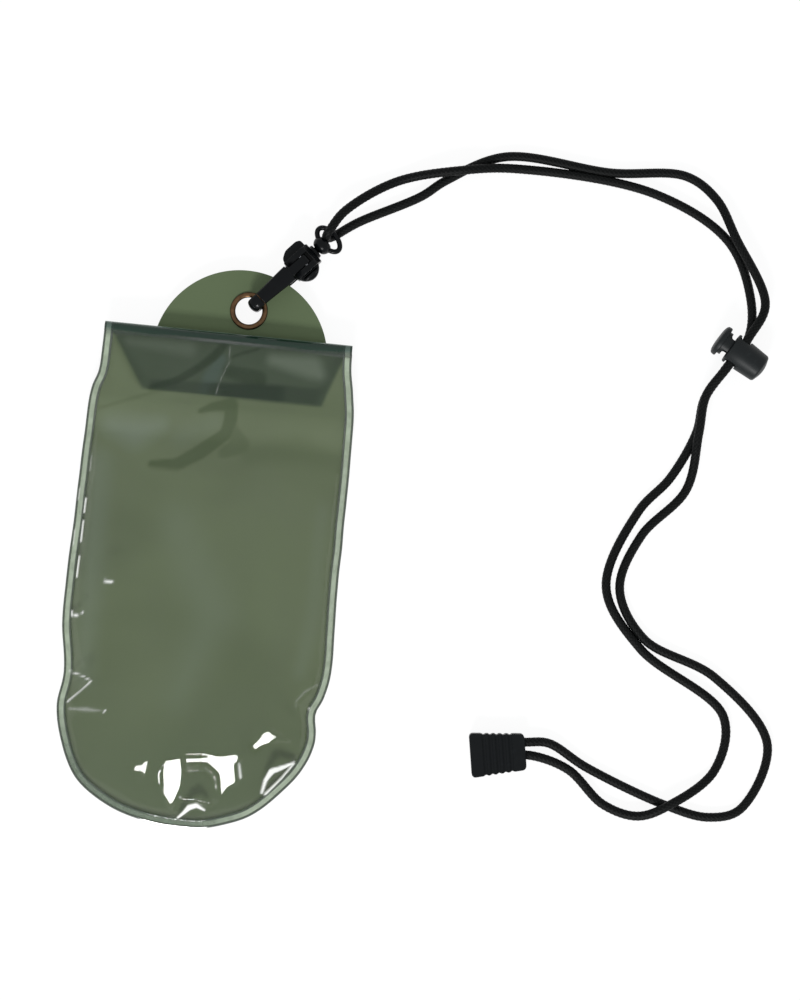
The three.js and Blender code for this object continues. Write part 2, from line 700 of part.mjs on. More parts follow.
function lockPlunger() {
  const recess = lockSpringRadius + lockSpringWire / 2 + gap;
  const button = buttonInner - buttonLength;
  const turned = turnedAboutX([
    [button, 0], [button + 0.5, barrelRadius - 2.6], [button + 1.3, barrelRadius - 0.5],
    [button + 2, barrelRadius], [buttonInner, barrelRadius - 0.2], [buttonInner, plungerRadius],
    [plungerEnd, plungerRadius], [plungerEnd, recess], [recessFloor, recess], [recessFloor, 0],
  ]);
  const slot = block(-slotHalf - plungerTravel, slotHalf, -barrelRadius, barrelRadius,
    -strandHalfHeight, strandHalfHeight);
  return geometryOf(cutFrom(solidOf(turned), [slot]));
}

const lockSpringStart = recessFloor + gap;
const lockSpringLength = barrelEnd - barrelFloor - gap - lockSpringStart;
const lockSpring = coilSpring(lockSpringRadius, lockSpringWire, lockSpringLength, 5);
lockSpring.rotateY(Math.PI / 2).translate(lockSpringStart, 0, 0);
addPiece(lockFrame, 'lock_barrel', lockBarrel(), plasticFinish);
addPiece(lockFrame, 'lock_plunger', lockPlunger(), plasticFinish);
addPiece(lockFrame, 'lock_spring', lockSpring, steelFinish);

// Cord end: two ribbed halves that close on the two ends of the cord
const endMiddle = endHeight / 2;
const channelRadius = cordDiameter / 2 + gap;

function endOutline() {
  const half = endLength / 2;
  const sideAt = (x) => THREE.MathUtils.lerp(endWideHalf, endNarrowHalf, (x + half) / endLength);
  const side = [[-half, sideAt(-half) - endCorner], [-half + endCorner, sideAt(-half)]];
  for (let i = 0; i < ribCount; i += 1) {
    const x = (i - (ribCount - 1) / 2) * ribPitch;
    side.push([x - 2 * ribHalf, sideAt(x)], [x - ribHalf, sideAt(x) - ribDepth],
      [x + ribHalf, sideAt(x) - ribDepth], [x + 2 * ribHalf, sideAt(x)]);
  }
  side.push([half - endCorner, sideAt(half)], [half, sideAt(half) - endCorner]);
  const mirrored = side.map(([x, y]) => [x, -y]);
  return shapeThrough([...mirrored, ...side.reverse()]);
}

function ribGrooves(zLow, zHigh) {
  return Array.from({ length: ribCount }, (_, i) => {
    const x = (i - (ribCount - 1) / 2) * ribPitch;
    return block(x - ribHalf, x + ribHalf, -endWideHalf, endWideHalf, zLow, zHigh);
  });
}

function cordChannels() {
  return [-0.5, 0.5].map((side) => {
    const channel = rodAlongX(channelRadius, endLength / 2 - channelDepth, endLength / 2 + 1, endMiddle, 16);
    return channel.translate(0, channelOffset + side * channelSpacing, 0);
  });
}

const pegsAt = (radius, zLow, zHigh) => [-pegY, pegY].map((y) => rodAlongZ(radius, zLow, zHigh, pegX, y, 16));

function cordEndBase() {
  const half = cutFrom(solidOf(plateFrom(endOutline(), 0, endMiddle - gap / 2)),
    [...ribGrooves(-1, ribDepth), ...cordChannels()]);
  return geometryOf(pegsAt(pegRadius, endMiddle - 1, endHeight - pegSkin).map(solidOf)
    .reduce((whole, peg) => whole.add(peg), half));
}

function cordEndCover() {
  return geometryOf(cutFrom(solidOf(plateFrom(endOutline(), endMiddle + gap / 2, endHeight)), [
    ...ribGrooves(endHeight - ribDepth, endHeight + 1), ...cordChannels(),
    ...pegsAt(pegRadius + gap, endMiddle, endHeight - pegSkin + gap),
  ]));
}

addPiece(endFrame, 'cord_end_base', cordEndBase(), plasticFinish);
addPiece(endFrame, 'cord_end_cover', cordEndCover(), plasticFinish);

// The cord's centre line, stepped evenly between its points. It rests on the table.
class CordPath extends THREE.CatmullRomCurve3 {
  getPoint(t, target = new THREE.Vector3()) {
    super.getPoint(t, target);
    target.z = Math.max(target.z, cordRest);
    return target;
  }

  getPointAt(u, target) {
    return this.getPoint(u, target);
  }

  getTangentAt(u, target) {
    return this.getTangent(u, target);
  }
}

const cordPath = new CordPath(cordRoute.map((point) => new THREE.Vector3(...point)), false, 'centripetal');
const neckCord = new THREE.ExtrudeGeometry(regularSection(cordDiameter / 2, cordSides), {
  extrudePath: cordPath, steps: stepsPerPoint * (cordRoute.length - 1), bevelEnabled: false,
});
addPiece(pouch, 'neck_cord', neckCord, braidFinish);

pouch.add(hookFrame, lockFrame, endFrame);

export default pouch;
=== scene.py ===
"""Looks of a waterproof pouch: clear film over a green sheet, hang tab, snap hook and doubled neck cord.

X runs across the pouch, Y towards its hang tab and Z up. Sizes named here are millimetres and the meshes
are written in metres, so every builder works in millimetres and new_piece() scales its vertices.
"""

from __future__ import annotations

import logging
import math
from dataclasses import dataclass, field
from enum import Enum
from typing import Any, Sequence

import bmesh
import bpy
import numpy as np
from mathutils import Matrix, Vector, noise

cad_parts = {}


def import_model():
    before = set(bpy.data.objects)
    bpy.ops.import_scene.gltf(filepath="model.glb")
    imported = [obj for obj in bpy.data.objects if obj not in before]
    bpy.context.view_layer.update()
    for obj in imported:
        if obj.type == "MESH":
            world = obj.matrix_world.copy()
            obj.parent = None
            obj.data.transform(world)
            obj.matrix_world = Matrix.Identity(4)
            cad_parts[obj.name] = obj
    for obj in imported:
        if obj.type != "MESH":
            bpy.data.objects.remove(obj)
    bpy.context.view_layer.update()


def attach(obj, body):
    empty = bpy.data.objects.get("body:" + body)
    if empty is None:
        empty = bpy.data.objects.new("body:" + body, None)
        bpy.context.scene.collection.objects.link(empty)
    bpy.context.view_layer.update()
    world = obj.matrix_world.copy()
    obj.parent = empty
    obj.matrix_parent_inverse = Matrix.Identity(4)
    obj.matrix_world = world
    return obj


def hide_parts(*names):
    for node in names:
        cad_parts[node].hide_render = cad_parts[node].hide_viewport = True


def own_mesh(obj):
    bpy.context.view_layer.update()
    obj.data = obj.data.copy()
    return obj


MM = 0.001
LOG = logging.getLogger("pouch")
Colour = tuple[float, float, float, float]
WHITE: Colour = (1.0, 1.0, 1.0, 1.0)
EYELET_CENTRE = (6.2, 100.0)


class Body(Enum):
    """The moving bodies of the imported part."""

    POUCH = "pouch"
    HOOK = "hook"
    GATE = "gate"
    LANYARD = "lanyard"
    PLUNGER = "plunger"


class Slot(Enum):
    """The record's material slots."""

    SHEET = "green_sheet"
    FILM = "clear_film"
    STRIP = "closure_strip"
    BRASS = "eyelet_brass"
    PLASTIC = "black_plastic"
    STEEL = "spring_steel"
    BRAID = "cord_braid"


def smoothstep(low: float, high: float, value: np.ndarray | float) -> np.ndarray | float:
    """Smooth rise from 0 at low to 1 at high."""
    share = np.clip((np.asarray(value, float) - low) / (high - low), 0.0, 1.0)
    return share * share * (3.0 - 2.0 * share)


def lerp(start: Any, end: Any, share: Any) -> Any:
    """Straight mix of two values."""
    return start + (end - start) * share


def linear(red: int, green: int, blue: int) -> Colour:
    """A colour written as it looks on a screen, in 0 to 255, as the linear values that shaders take."""
    values = [channel / 255 for channel in (red, green, blue)]
    bright = [((v + 0.055) / 1.055) ** 2.4 if v > 0.04045 else v / 12.92 for v in values]
    return (bright[0], bright[1], bright[2], 1.0)


def bell(value: np.ndarray, middle: float, width: float) -> np.ndarray:
    """A smooth bump: 1 where the value is middle, and near 0 from two widths away."""
    return np.exp(-((value - middle) / width) ** 2)


def run_along(line: np.ndarray) -> np.ndarray:
    """Distance of each point of a line from its start, measured along the line."""
    return np.concatenate([[0], np.cumsum(np.linalg.norm(np.diff(line, axis=0), axis=1))])


def directions(line: np.ndarray) -> np.ndarray:
    """Direction of a line at each of its points."""
    steps = np.gradient(line, axis=0)
    return steps / np.linalg.norm(steps, axis=1)[:, None]


def from_stretch(x: np.ndarray, y: np.ndarray, start: Sequence[float],
                 end: Sequence[float]) -> tuple[np.ndarray, np.ndarray]:
    """Where points lie beside a straight stretch.

    Args:
        x: the points' places along X.
        y: the points' places along Y.
        start: where the stretch starts.
        end: where it ends.

    Returns:
        The share of the stretch at which each point is nearest to it, and the distance there.
    """
    (ax, ay), (bx, by) = start, end
    run_x, run_y = bx - ax, by - ay
    share = np.clip(((x - ax) * run_x + (y - ay) * run_y) / (run_x ** 2 + run_y ** 2), 0, 1)
    return share, np.hypot(x - ax - share * run_x, y - ay - share * run_y)


def standing(origin: Sequence[float], degrees: float) -> Matrix:
    """A local frame at the origin given, turned about Z, in the row frame in millimetres."""
    return Matrix.Translation(origin) @ Matrix.Rotation(math.radians(degrees), 4, "Z")


# Meshes


def new_piece(name: str, vertices: np.ndarray, faces: Sequence[Sequence[int]]) -> bpy.types.Object:
    """Makes a mesh object from vertices in millimetres.

    Args:
        name: the piece's name.
        vertices: one row for each vertex, in millimetres.
        faces: the vertex numbers of each face.

    Returns:
        The object, linked to the scene, smooth shaded.
    """
    mesh = bpy.data.meshes.new(name)
    mesh.from_pydata((np.asarray(vertices, float) * MM).tolist(), [], [list(map(int, f)) for f in faces])
    mesh.update()
    mesh.shade_smooth()
    piece = bpy.data.objects.new(name, mesh)
    bpy.context.scene.collection.objects.link(piece)
    return piece


def set_values(piece: bpy.types.Object, name: str, values: np.ndarray) -> None:
    """Stores one number for each vertex, for the piece's material to read."""
    attribute = piece.data.attributes.new(name, "FLOAT", "POINT")
    attribute.data.foreach_set("value", np.asarray(values, np.float32).ravel())


def grid_faces(rows: int, columns: int, round_columns: bool = False) -> np.ndarray:
    """Quads of a grid of vertices that is stored row by row.

    Args:
        rows: number of rows.
        columns: number of vertices in a row.
        round_columns: joins the last column to the first, as on a tube.

    Returns:
        One row of four vertex numbers for each quad.
    """
    across = columns if round_columns else columns - 1
    i, j = np.meshgrid(np.arange(rows - 1), np.arange(across), indexing="ij")
    i, j = i.ravel(), j.ravel()
    k = (j + 1) % columns
    return np.stack([i * columns + j, i * columns + k, (i + 1) * columns + k, (i + 1) * columns + j], axis=1)


def apply_modifiers(piece: bpy.types.Object) -> None:
    """Writes the piece's modifiers into its mesh."""
    depsgraph = bpy.context.evaluated_depsgraph_get()
    old = piece.data
    made = bpy.data.meshes.new_from_object(piece.evaluated_get(depsgraph), depsgraph=depsgraph)
    piece.modifiers.clear()
    piece.data = made
    made.name = piece.name
    bpy.data.meshes.remove(old)


def thicken(piece: bpy.types.Object, thickness: float) -> None:
    """Turns a middle surface into a closed sheet.

    Args:
        piece: a mesh of one open surface.
        thickness: the sheet's thickness in millimetres.
    """
    solidify = piece.modifiers.new("sheet", "SOLIDIFY")
    solidify.thickness = thickness * MM
    solidify.offset = 0
    solidify.use_rim = True
    apply_modifiers(piece)
    piece.data.shade_smooth()


class Moulding:
    """A hard piece made in a local frame in millimetres, joined and cut, then placed in the row frame."""

    def __init__(self, vertices: np.ndarray, faces: Sequence[Sequence[int]]) -> None:
        """Starts the moulding from one closed mesh."""
        mesh = bpy.data.meshes.new("moulding")
        mesh.from_pydata(np.asarray(vertices, float).tolist(), [], [list(map(int, f)) for f in faces])
        work = bmesh.new()
        work.from_mesh(mesh)
        bmesh.ops.remove_doubles(work, verts=work.verts, dist=1e-5)
        bmesh.ops.recalc_face_normals(work, faces=work.faces)
        work.to_mesh(mesh)
        work.free()
        self.piece = bpy.data.objects.new("moulding", mesh)
        bpy.context.scene.collection.objects.link(self.piece)

    @classmethod
    def prism(cls, outline: Sequence[Sequence[float]], low: float, high: float,
              side: bool = False) -> "Moulding":
        """A straight prism.

        Args:
            outline: corners in X and Y, or in X and Z for a side profile.
            low: where the prism starts along the other axis.
            high: where it ends.
            side: makes the outline a side profile, extruded along Y.

        Returns:
            The moulding.
        """
        count = len(outline)
        rows = []
        for level in (low, high):
            for first, second in outline:
                rows.append((first, level, second) if side else (first, second, level))
        faces: list[list[int]] = [list(range(count)), list(range(count, 2 * count))]
        faces += [[i, (i + 1) % count, count + (i + 1) % count, count + i] for i in range(count)]
        return cls(np.array(rows), faces)

    @classmethod
    def turned(cls, profile: Sequence[Sequence[float]], sides: int = 96, upright: bool = False) -> "Moulding":
        """A profile turned about X, or about Z where it is upright.

        Args:
            profile: pairs of distance along the axis and radius. It starts and ends on the axis or closes.
            sides: steps round the axis.
            upright: turns about Z.

        Returns:
            The moulding.
        """
        angles = np.linspace(0, 2 * math.pi, sides, endpoint=False)
        rows = []
        for along, radius in profile:
            for angle in angles:
                a, b = radius * math.cos(angle), radius * math.sin(angle)
                rows.append((a, b, along) if upright else (along, a, b))
        return cls(np.array(rows), grid_faces(len(profile), sides, True).tolist())

    @classmethod
    def cylinder(cls, start: float, end: float, radius: float, sides: int = 32,
                 upright: bool = False) -> "Moulding":
        """A straight cylinder about X, or about Z where it is upright."""
        return cls.turned([(start, 0.0), (start, radius), (end, radius), (end, 0.0)], sides, upright)

    @classmethod
    def block(cls, x: tuple[float, float], y: tuple[float, float], z: tuple[float, float]) -> "Moulding":
        """A box between two values on each axis."""
        return cls.prism([(x[0], y[0]), (x[1], y[0]), (x[1], y[1]), (x[0], y[1])], *z)

    @classmethod
    def swept(cls, path: np.ndarray, section: np.ndarray, side: Vector) -> "Moulding":
        """A closed section carried along a path, with flat ends.

        Args:
            path: points of the path.
            section: points of the section, as distances along side and along the path's outward normal. It is
                one section for the whole path, or one for each of its points.
            side: the direction across the path that stays fixed.

        Returns:
            The moulding.
        """
        across = np.array(side, float)
        outward = np.cross(directions(path), across)
        count = section.shape[-2]
        sections = np.broadcast_to(section, (len(path), count, 2))
        rows = [p + s[:, :1] * across + s[:, 1:] * n for p, s, n in zip(path, sections, outward)]
        faces = grid_faces(len(path), count, True).tolist()
        faces += [list(range(count)), list(range((len(path) - 1) * count, len(path) * count))]
        return cls(np.concatenate(rows), faces)

    def move(self, x: float = 0, y: float = 0, z: float = 0) -> "Moulding":
        """Shifts the moulding in its local frame."""
        self.piece.data.transform(Matrix.Translation((x, y, z)))
        return self

    def turn(self, degrees: float, axis: str) -> "Moulding":
        """Turns the moulding about an axis through the local origin."""
        self.piece.data.transform(Matrix.Rotation(math.radians(degrees), 4, axis))
        return self

    def join(self, *others: "Moulding") -> "Moulding":
        """Puts other mouldings into this mesh. A later remesh makes them one body."""
        work = bmesh.new()
        work.from_mesh(self.piece.data)
        for other in others:
            work.from_mesh(other.piece.data)
            other.drop()
        work.to_mesh(self.piece.data)
        work.free()
        return self

    def cut(self, *tools: "Moulding") -> "Moulding":
        """Cuts each tool out of this moulding."""
        for tool in tools:
            cutter = self.piece.modifiers.new("cut", "BOOLEAN")
            cutter.operation = "DIFFERENCE"
            cutter.solver = "EXACT"
            cutter.use_self = True
            cutter.object = tool.piece
            apply_modifiers(self.piece)
            tool.drop()
        return self

    def soften(self, voxel: float, rounds: int = 6) -> "Moulding":
        """Makes one skin of even quads and rounds its edges, as a moulded part has.

        Args:
            voxel: size of the quads in millimetres.
            rounds: passes of smoothing.

        Returns:
            This moulding.
        """
        remesh = self.piece.modifiers.new("skin", "REMESH")
        remesh.mode = "VOXEL"
        remesh.voxel_size = voxel
        smooth = self.piece.modifiers.new("edges", "SMOOTH")
        smooth.factor = 0.5
        smooth.iterations = rounds
        apply_modifiers(self.piece)
        return self

    def bevel(self, width: float, angle: float = 35) -> "Moulding":
        """Rounds the edges that turn more than the angle."""
        bevel = self.piece.modifiers.new("bevel", "BEVEL")
        bevel.width = width
        bevel.segments = 3
        bevel.limit_method = "ANGLE"
        bevel.angle_limit = math.radians(angle)
        apply_modifiers(self.piece)
        return self

    def drop(self) -> None:
        """Removes the moulding from the scene."""
        mesh = self.piece.data
        bpy.data.objects.remove(self.piece)
        bpy.data.meshes.remove(mesh)

    def place(self, name: str, place: Matrix, sharp: float = 180) -> bpy.types.Object:
        """Puts the moulding into the row frame.

        Args:
            name: the piece's name.
            place: where its local frame lies, in millimetres.
            sharp: edges that turn more than this many degrees are shaded sharp.

        Returns:
            The finished piece, in metres.
        """
        self.piece.data.transform(Matrix.Scale(MM, 4) @ place)
        self.piece.name = name
        self.piece.data.name = name
        self.piece.data.shade_smooth()
        if sharp < 180:
            self.piece.data.set_sharp_from_angle(angle=math.radians(sharp))
        return self.piece


def rounded(corners: Sequence[Sequence[float]], radius: float, steps: int = 5) -> list[tuple[float, float]]:
    """Rounds the corners of an outline.

    Args:
        corners: the outline's corners.
        radius: how far from a corner the rounding starts, at most.
        steps: points on each rounding.

    Returns:
        The points of the rounded outline.
    """
    points = [Vector(corner) for corner in corners]
    made = []
    for i, corner in enumerate(points):
        before, after = points[i - 1], points[(i + 1) % len(points)]
        reach = min(radius, (before - corner).length * 0.45, (after - corner).length * 0.45)
        start = corner + (before - corner).normalized() * reach
        end = corner + (after - corner).normalized() * reach
        for step in range(steps + 1):
            t = step / steps
            made.append(tuple(start.lerp(corner, t).lerp(corner.lerp(end, t), t)))
    return made


# Shaders


class Value:
    """A socket of a material's node tree, with arithmetic that adds Math nodes."""

    def __init__(self, nodes: "Nodes", socket: bpy.types.NodeSocket) -> None:
        """Wraps an output socket."""
        self.nodes = nodes
        self.socket = socket

    def _math(self, operation: str, first: Any, second: Any) -> "Value":
        """Adds one Math node and returns its result."""
        return self.nodes.node("ShaderNodeMath", {"operation": operation}, {0: first, 1: second})

    def beside(self, output: str) -> "Value":
        """Another output of the same node."""
        return Value(self.nodes, self.socket.node.outputs[output])

    def __add__(self, other: "Value | float") -> "Value":
        """self + other."""
        return self._math("ADD", self, other)

    def __radd__(self, other: float) -> "Value":
        """other + self."""
        return self._math("ADD", other, self)

    def __sub__(self, other: "Value | float") -> "Value":
        """self - other."""
        return self._math("SUBTRACT", self, other)

    def __rsub__(self, other: float) -> "Value":
        """other - self."""
        return self._math("SUBTRACT", other, self)

    def __mul__(self, other: "Value | float") -> "Value":
        """self * other."""
        return self._math("MULTIPLY", self, other)

    def __rmul__(self, other: float) -> "Value":
        """other * self."""
        return self._math("MULTIPLY", other, self)

    def most(self, other: "Value | float") -> "Value":
        """The larger of two values."""
        return self._math("MAXIMUM", self, other)

    def rise(self, low: float, high: float) -> "Value":
        """Smooth rise from 0 at low to 1 at high."""
        return self.nodes.node(
            "ShaderNodeMapRange", {"interpolation_type": "SMOOTHSTEP"},
            {"Value": self, "From Min": low, "From Max": high})

    def line(self, middle: float, half_width: float) -> "Value":
        """A soft line: 1 where the value is middle, 0 past half_width from it."""
        away = self._math("ABSOLUTE", self - middle, 0.0)
        return 1.0 - away.rise(0.0, half_width)


class Nodes:
    """A node tree, built node by node, that ends in one output."""

    def __init__(self, tree: bpy.types.NodeTree, output: str) -> None:
        """Empties the tree and adds its output node, of the type given."""
        self.tree = tree
        self.tree.nodes.clear()
        self.output = self.tree.nodes.new(output)

    def node(self, kind: str, settings: dict[str, Any] | None = None,
             inputs: dict[Any, Any] | None = None, output: int | str = 0) -> Value:
        """Adds a node.

        Args:
            kind: the node's type name.
            settings: the node's own settings, set before its sockets.
            inputs: values or links, by the name or number of the socket.
            output: which output is returned.

        Returns:
            The chosen output.
        """
        made = self.tree.nodes.new(kind)
        for name, value in (settings or {}).items():
            setattr(made, name, value)
        for key, value in (inputs or {}).items():
            if isinstance(value, Value):
                self.tree.links.new(value.socket, made.inputs[key])
            else:
                made.inputs[key].default_value = value
        return Value(self, made.outputs[output])

    def send(self, shader: Value) -> None:
        """Links the shader to the tree's output."""
        self.tree.links.new(shader.socket, self.output.inputs["Surface"])


class Shader(Nodes):
    """One material, built node by node."""

    def __init__(self, name: str) -> None:
        """Starts an empty material."""
        self.material = bpy.data.materials.new(name)
        self.material.use_nodes = True
        super().__init__(self.material.node_tree, "ShaderNodeOutputMaterial")

    def place(self) -> Value:
        """The point on the piece, in metres, in the piece's own frame."""
        return self.node("ShaderNodeTexCoord", output="Object")

    def stored(self, name: str) -> Value:
        """A number stored on the mesh."""
        return self.node("ShaderNodeAttribute", {"attribute_name": name}, output="Fac")

    def grain(self, scale: float, detail: float = 3, rough: float = 0.5, warp: float = 0) -> Value:
        """Noise of so many cells in a metre, from 0 to 1."""
        return self.node("ShaderNodeTexNoise", {}, {
            "Vector": self.place(), "Scale": scale, "Detail": detail, "Roughness": rough, "Distortion": warp,
        }, output="Fac")

    def mix(self, mask: Value | float, first: Any, second: Any) -> Value:
        """Mixes two colours by a mask."""
        return self.node("ShaderNodeMix", {"data_type": "RGBA"}, {0: mask, 6: first, 7: second}, output=2)

    def bump(self, height: Value, depth_mm: float, strength: float) -> Value:
        """Surface detail from a height between 0 and 1 that stands for depth_mm."""
        return self.node("ShaderNodeBump", {}, {
            "Height": height, "Distance": depth_mm * MM, "Strength": strength,
        }, output="Normal")

    def principled(self, **sockets: Any) -> Value:
        """The main shader, its sockets given by name with _ for a space."""
        inputs = {name.replace("_", " "): value for name, value in sockets.items()}
        return self.node("ShaderNodeBsdfPrincipled", {}, inputs)

    def done(self, shader: Value) -> bpy.types.Material:
        """Sends the shader to the material's output and returns the material."""
        self.send(shader)
        return self.material


@dataclass(frozen=True)
class GreenSheet:
    """Olive vinyl: matt on the tab, toned where its own layers or the film's cling lie over each other, with painted
    sheen on the body and painted light on the lower tab.
    """

    body: Colour = linear(111, 123, 95)
    olive: Colour = linear(102, 114, 86)
    # Painted sheen: a lighter blue-grey that stands in for the film's reflection.
    painted_sheen: Colour = linear(128, 140, 126)
    low: Colour = linear(98, 110, 86)
    cling: Colour = linear(82, 96, 65)
    cling_flap: Colour = linear(28, 48, 26)
    flap: Colour = linear(60, 74, 58)
    flap_pale: Colour = linear(104, 115, 103)
    flap_blue: Colour = linear(70, 87, 82)
    band: Colour = linear(8, 35, 15)
    fold: Colour = linear(30, 50, 40)
    tab: Colour = linear(94, 108, 79)
    # Painted light: the tab is lighter near the fold, to soften the fold's shadow on it.
    tab_painted_light: Colour = linear(98, 113, 81)
    tab_mottle: Colour = linear(96, 110, 82)

    def make(self) -> bpy.types.Material:
        """Builds the material."""
        s = Shader("green_sheet")
        body = s.mix(s.grain(14, 2, 0.5, 0.6).rise(0.4, 0.65), self.body, self.olive)
        # Painted sheen where the film would reflect.
        body = s.mix(s.stored("painted_sheen"), body, self.painted_sheen)
        body = s.mix(s.stored("low"), body, self.low)
        flap = s.mix(s.stored("pale"), self.flap, self.flap_pale)
        flap = s.mix(s.stored("blue"), flap, self.flap_blue)
        shade = s.stored("flap_shade")
        body = s.mix(shade, body, flap)
        body = s.mix(s.stored("cling"), body, s.mix(shade, self.cling, self.cling_flap))
        body = s.mix(s.stored("band_shade"), body, self.band)
        body = s.mix(s.stored("fold_shade"), body, self.fold)
        # Painted light on the lower tab, against the fold's shadow.
        tab = s.mix(s.stored("tab_painted_light"), self.tab, self.tab_painted_light)
        tab = s.mix(s.grain(60, 3).rise(0.4, 0.7) * 0.15, tab, self.tab_mottle)
        colour = s.mix(s.stored("is_tab"), body, tab)
        height = s.grain(900, 3, 0.6) * 0.5 + s.grain(160, 2) * 0.5
        rough = s.grain(120, 2) * 0.15 + 0.42
        return s.done(s.principled(
            Base_Color=colour, Roughness=rough, Specular_IOR_Level=0.12, Normal=s.bump(height, 0.05, 0.6)))


@dataclass(frozen=True)
class ClearFilm:
    """Clear glossy film: pale in its weld between two dark lines, slate where it folds, with painted glints."""

    film: Colour = linear(58, 70, 56)
    weld: Colour = linear(179, 193, 169)
    line: Colour = linear(44, 62, 52)
    low_weld: Colour = linear(118, 134, 114)
    slate: Colour = linear(28, 54, 41)
    slate_weld: Colour = linear(92, 110, 100)
    fold_shadow: Colour = linear(22, 36, 29)
    rim: Colour = linear(122, 142, 130)
    glint: Colour = linear(246, 248, 242)
    tint: Colour = (0.97, 0.975, 0.95, 1.0)

    def make(self) -> bpy.types.Material:
        """Builds the material."""
        s = Shader("clear_film")
        edge = s.stored("edge_mm")
        fold = s.stored("fold")
        rim = s.stored("fold_rim")
        glint = s.stored("glint")
        band = edge.rise(0.55, 0.95) * (1.0 - edge.rise(2.35, 2.75))
        lines = edge.line(0.3, 0.45).most(edge.line(2.95, 0.55))
        crease = s.stored("fold_line")
        streak = s.grain(260, 2).rise(0.3, 0.7)
        colour = s.mix(fold, self.film, self.slate)
        weld = s.mix(s.stored("weld_low"), self.weld, self.low_weld)
        colour = s.mix(band, colour, s.mix(fold, weld, self.slate_weld))
        colour = s.mix(lines * 0.9, colour, self.line)
        colour = s.mix(crease, colour, self.fold_shadow)
        colour = s.mix(rim, colour, self.rim)
        colour = s.mix(glint, colour, self.glint)
        haze = s.grain(26, 2, 0.5, 0.8).rise(0.35, 0.75) * 0.03 + 0.1
        cover = haze + band * (streak * 0.2 + 0.42) + lines * 0.55
        cover = cover.most(fold * 0.86).most(crease * 0.85).most(rim * 0.9).most(glint * 0.92)
        ripple = s.grain(140, 2, 0.5, 0.4)
        film = s.principled(
            Base_Color=colour, Roughness=0.07, Specular_IOR_Level=0.5, Coat_Roughness=0.03,
            Coat_Weight=1.0 - fold.most(band * 0.6), Coat_IOR=2.2, Normal=s.bump(ripple, 0.12, 0.5))
        clear = s.node("ShaderNodeBsdfTransparent", {}, {"Color": self.tint})
        return s.done(s.node("ShaderNodeMixShader", {}, {0: cover, 1: clear, 2: film}))


@dataclass(frozen=True)
class AntiqueBrass:
    """Brown brass of the eyelet, lighter in random patches, with a painted highlight along the top of its rim."""

    dark: Colour = linear(50, 40, 31)
    # Lighter brass: in random patches, and as the painted highlight on the rim's top.
    bright_brass_and_highlight: Colour = linear(124, 95, 68)

    def make(self) -> bpy.types.Material:
        """Builds the material."""
        s = Shader("antique_brass")
        tarnish = s.grain(420, 4, 0.6)
        # Painted highlight along the top of the rim.
        rim = s.stored("bright_brass_and_highlight")
        colour = s.mix(tarnish.rise(0.35, 0.7) * 0.5 + rim * 0.5, self.dark, self.bright_brass_and_highlight)
        rough = tarnish * 0.25 + 0.2
        height = s.grain(1500, 2)
        return s.done(s.principled(
            Base_Color=colour, Metallic=1.0, Roughness=rough, Normal=s.bump(height, 0.02, 0.5)))


@dataclass(frozen=True)
class BlackPlastic:
    """Moulded black plastic with a faint grain."""

    name: str
    colour: Colour = linear(7, 9, 11)
    worn: Colour = linear(14, 17, 19)
    roughness: float = 0.26
    grain_depth: float = 0.03
    shine: float = 0.16

    def make(self) -> bpy.types.Material:
        """Builds the material."""
        s = Shader(self.name)
        wear = s.grain(330, 4, 0.6).rise(0.55, 0.8)
        colour = s.mix(wear * 0.5, self.colour, self.worn)
        rough = s.grain(240, 3) * 0.16 + self.roughness - 0.08
        height = s.grain(2200, 2) * 0.6 + s.grain(420, 2) * 0.4
        return s.done(s.principled(
            Base_Color=colour, Roughness=rough, Specular_IOR_Level=self.shine,
            Normal=s.bump(height, self.grain_depth, 0.6)))


@dataclass(frozen=True)
class SpringSteel:
    """Bright drawn steel of the pin and the springs."""

    colour: Colour = linear(176, 178, 182)
    drawn: Colour = linear(128, 130, 134)

    def make(self) -> bpy.types.Material:
        """Builds the material."""
        s = Shader("spring_steel")
        draw = s.grain(1800, 2)
        colour = s.mix(draw.rise(0.3, 0.8) * 0.4, self.colour, self.drawn)
        return s.done(s.principled(
            Base_Color=colour, Metallic=1.0, Roughness=draw * 0.15 + 0.22, Normal=s.bump(draw, 0.01, 0.5)))


@dataclass(frozen=True)
class BlackBraid:
    """Black polyester braid, with a painted highlight on each strand's crown and painted shade in the valleys between
    strands.
    """

    # Painted shade in the valleys and painted highlight on the crowns.
    valley: Colour = linear(3, 4, 4)
    crown: Colour = linear(27, 29, 28)

    def make(self) -> bpy.types.Material:
        """Builds the material."""
        s = Shader("black_braid")
        crown = s.stored("crown")
        fibre = s.grain(3800, 2, 0.6, 0.3)
        # Painted light: the strand height makes crowns lighter and valleys darker.
        colour = s.mix(crown.rise(0.55, 1.0) * (fibre * 0.6 + 0.4), self.valley, self.crown)
        height = fibre * 0.5 + crown * 0.5
        return s.done(s.principled(
            Base_Color=colour, Roughness=0.5, Specular_IOR_Level=0.12, Sheen_Weight=0.01, Sheen_Roughness=0.4,
            Normal=s.bump(height, 0.12, 0.7)))


@dataclass(frozen=True)
class ClosureFabric:
    """Dark green hook and loop tape."""

    colour: Colour = linear(38, 52, 40)
    tips: Colour = linear(70, 88, 70)

    def make(self) -> bpy.types.Material:
        """Builds the material."""
        s = Shader("closure_fabric")
        fibre = s.grain(2600, 3, 0.7)
        colour = s.mix(fibre.rise(0.3, 0.8), self.colour, self.tips)
        return s.done(s.principled(
            Base_Color=colour, Roughness=0.95, Specular_IOR_Level=0.2, Normal=s.bump(fibre, 0.3, 0.9)))


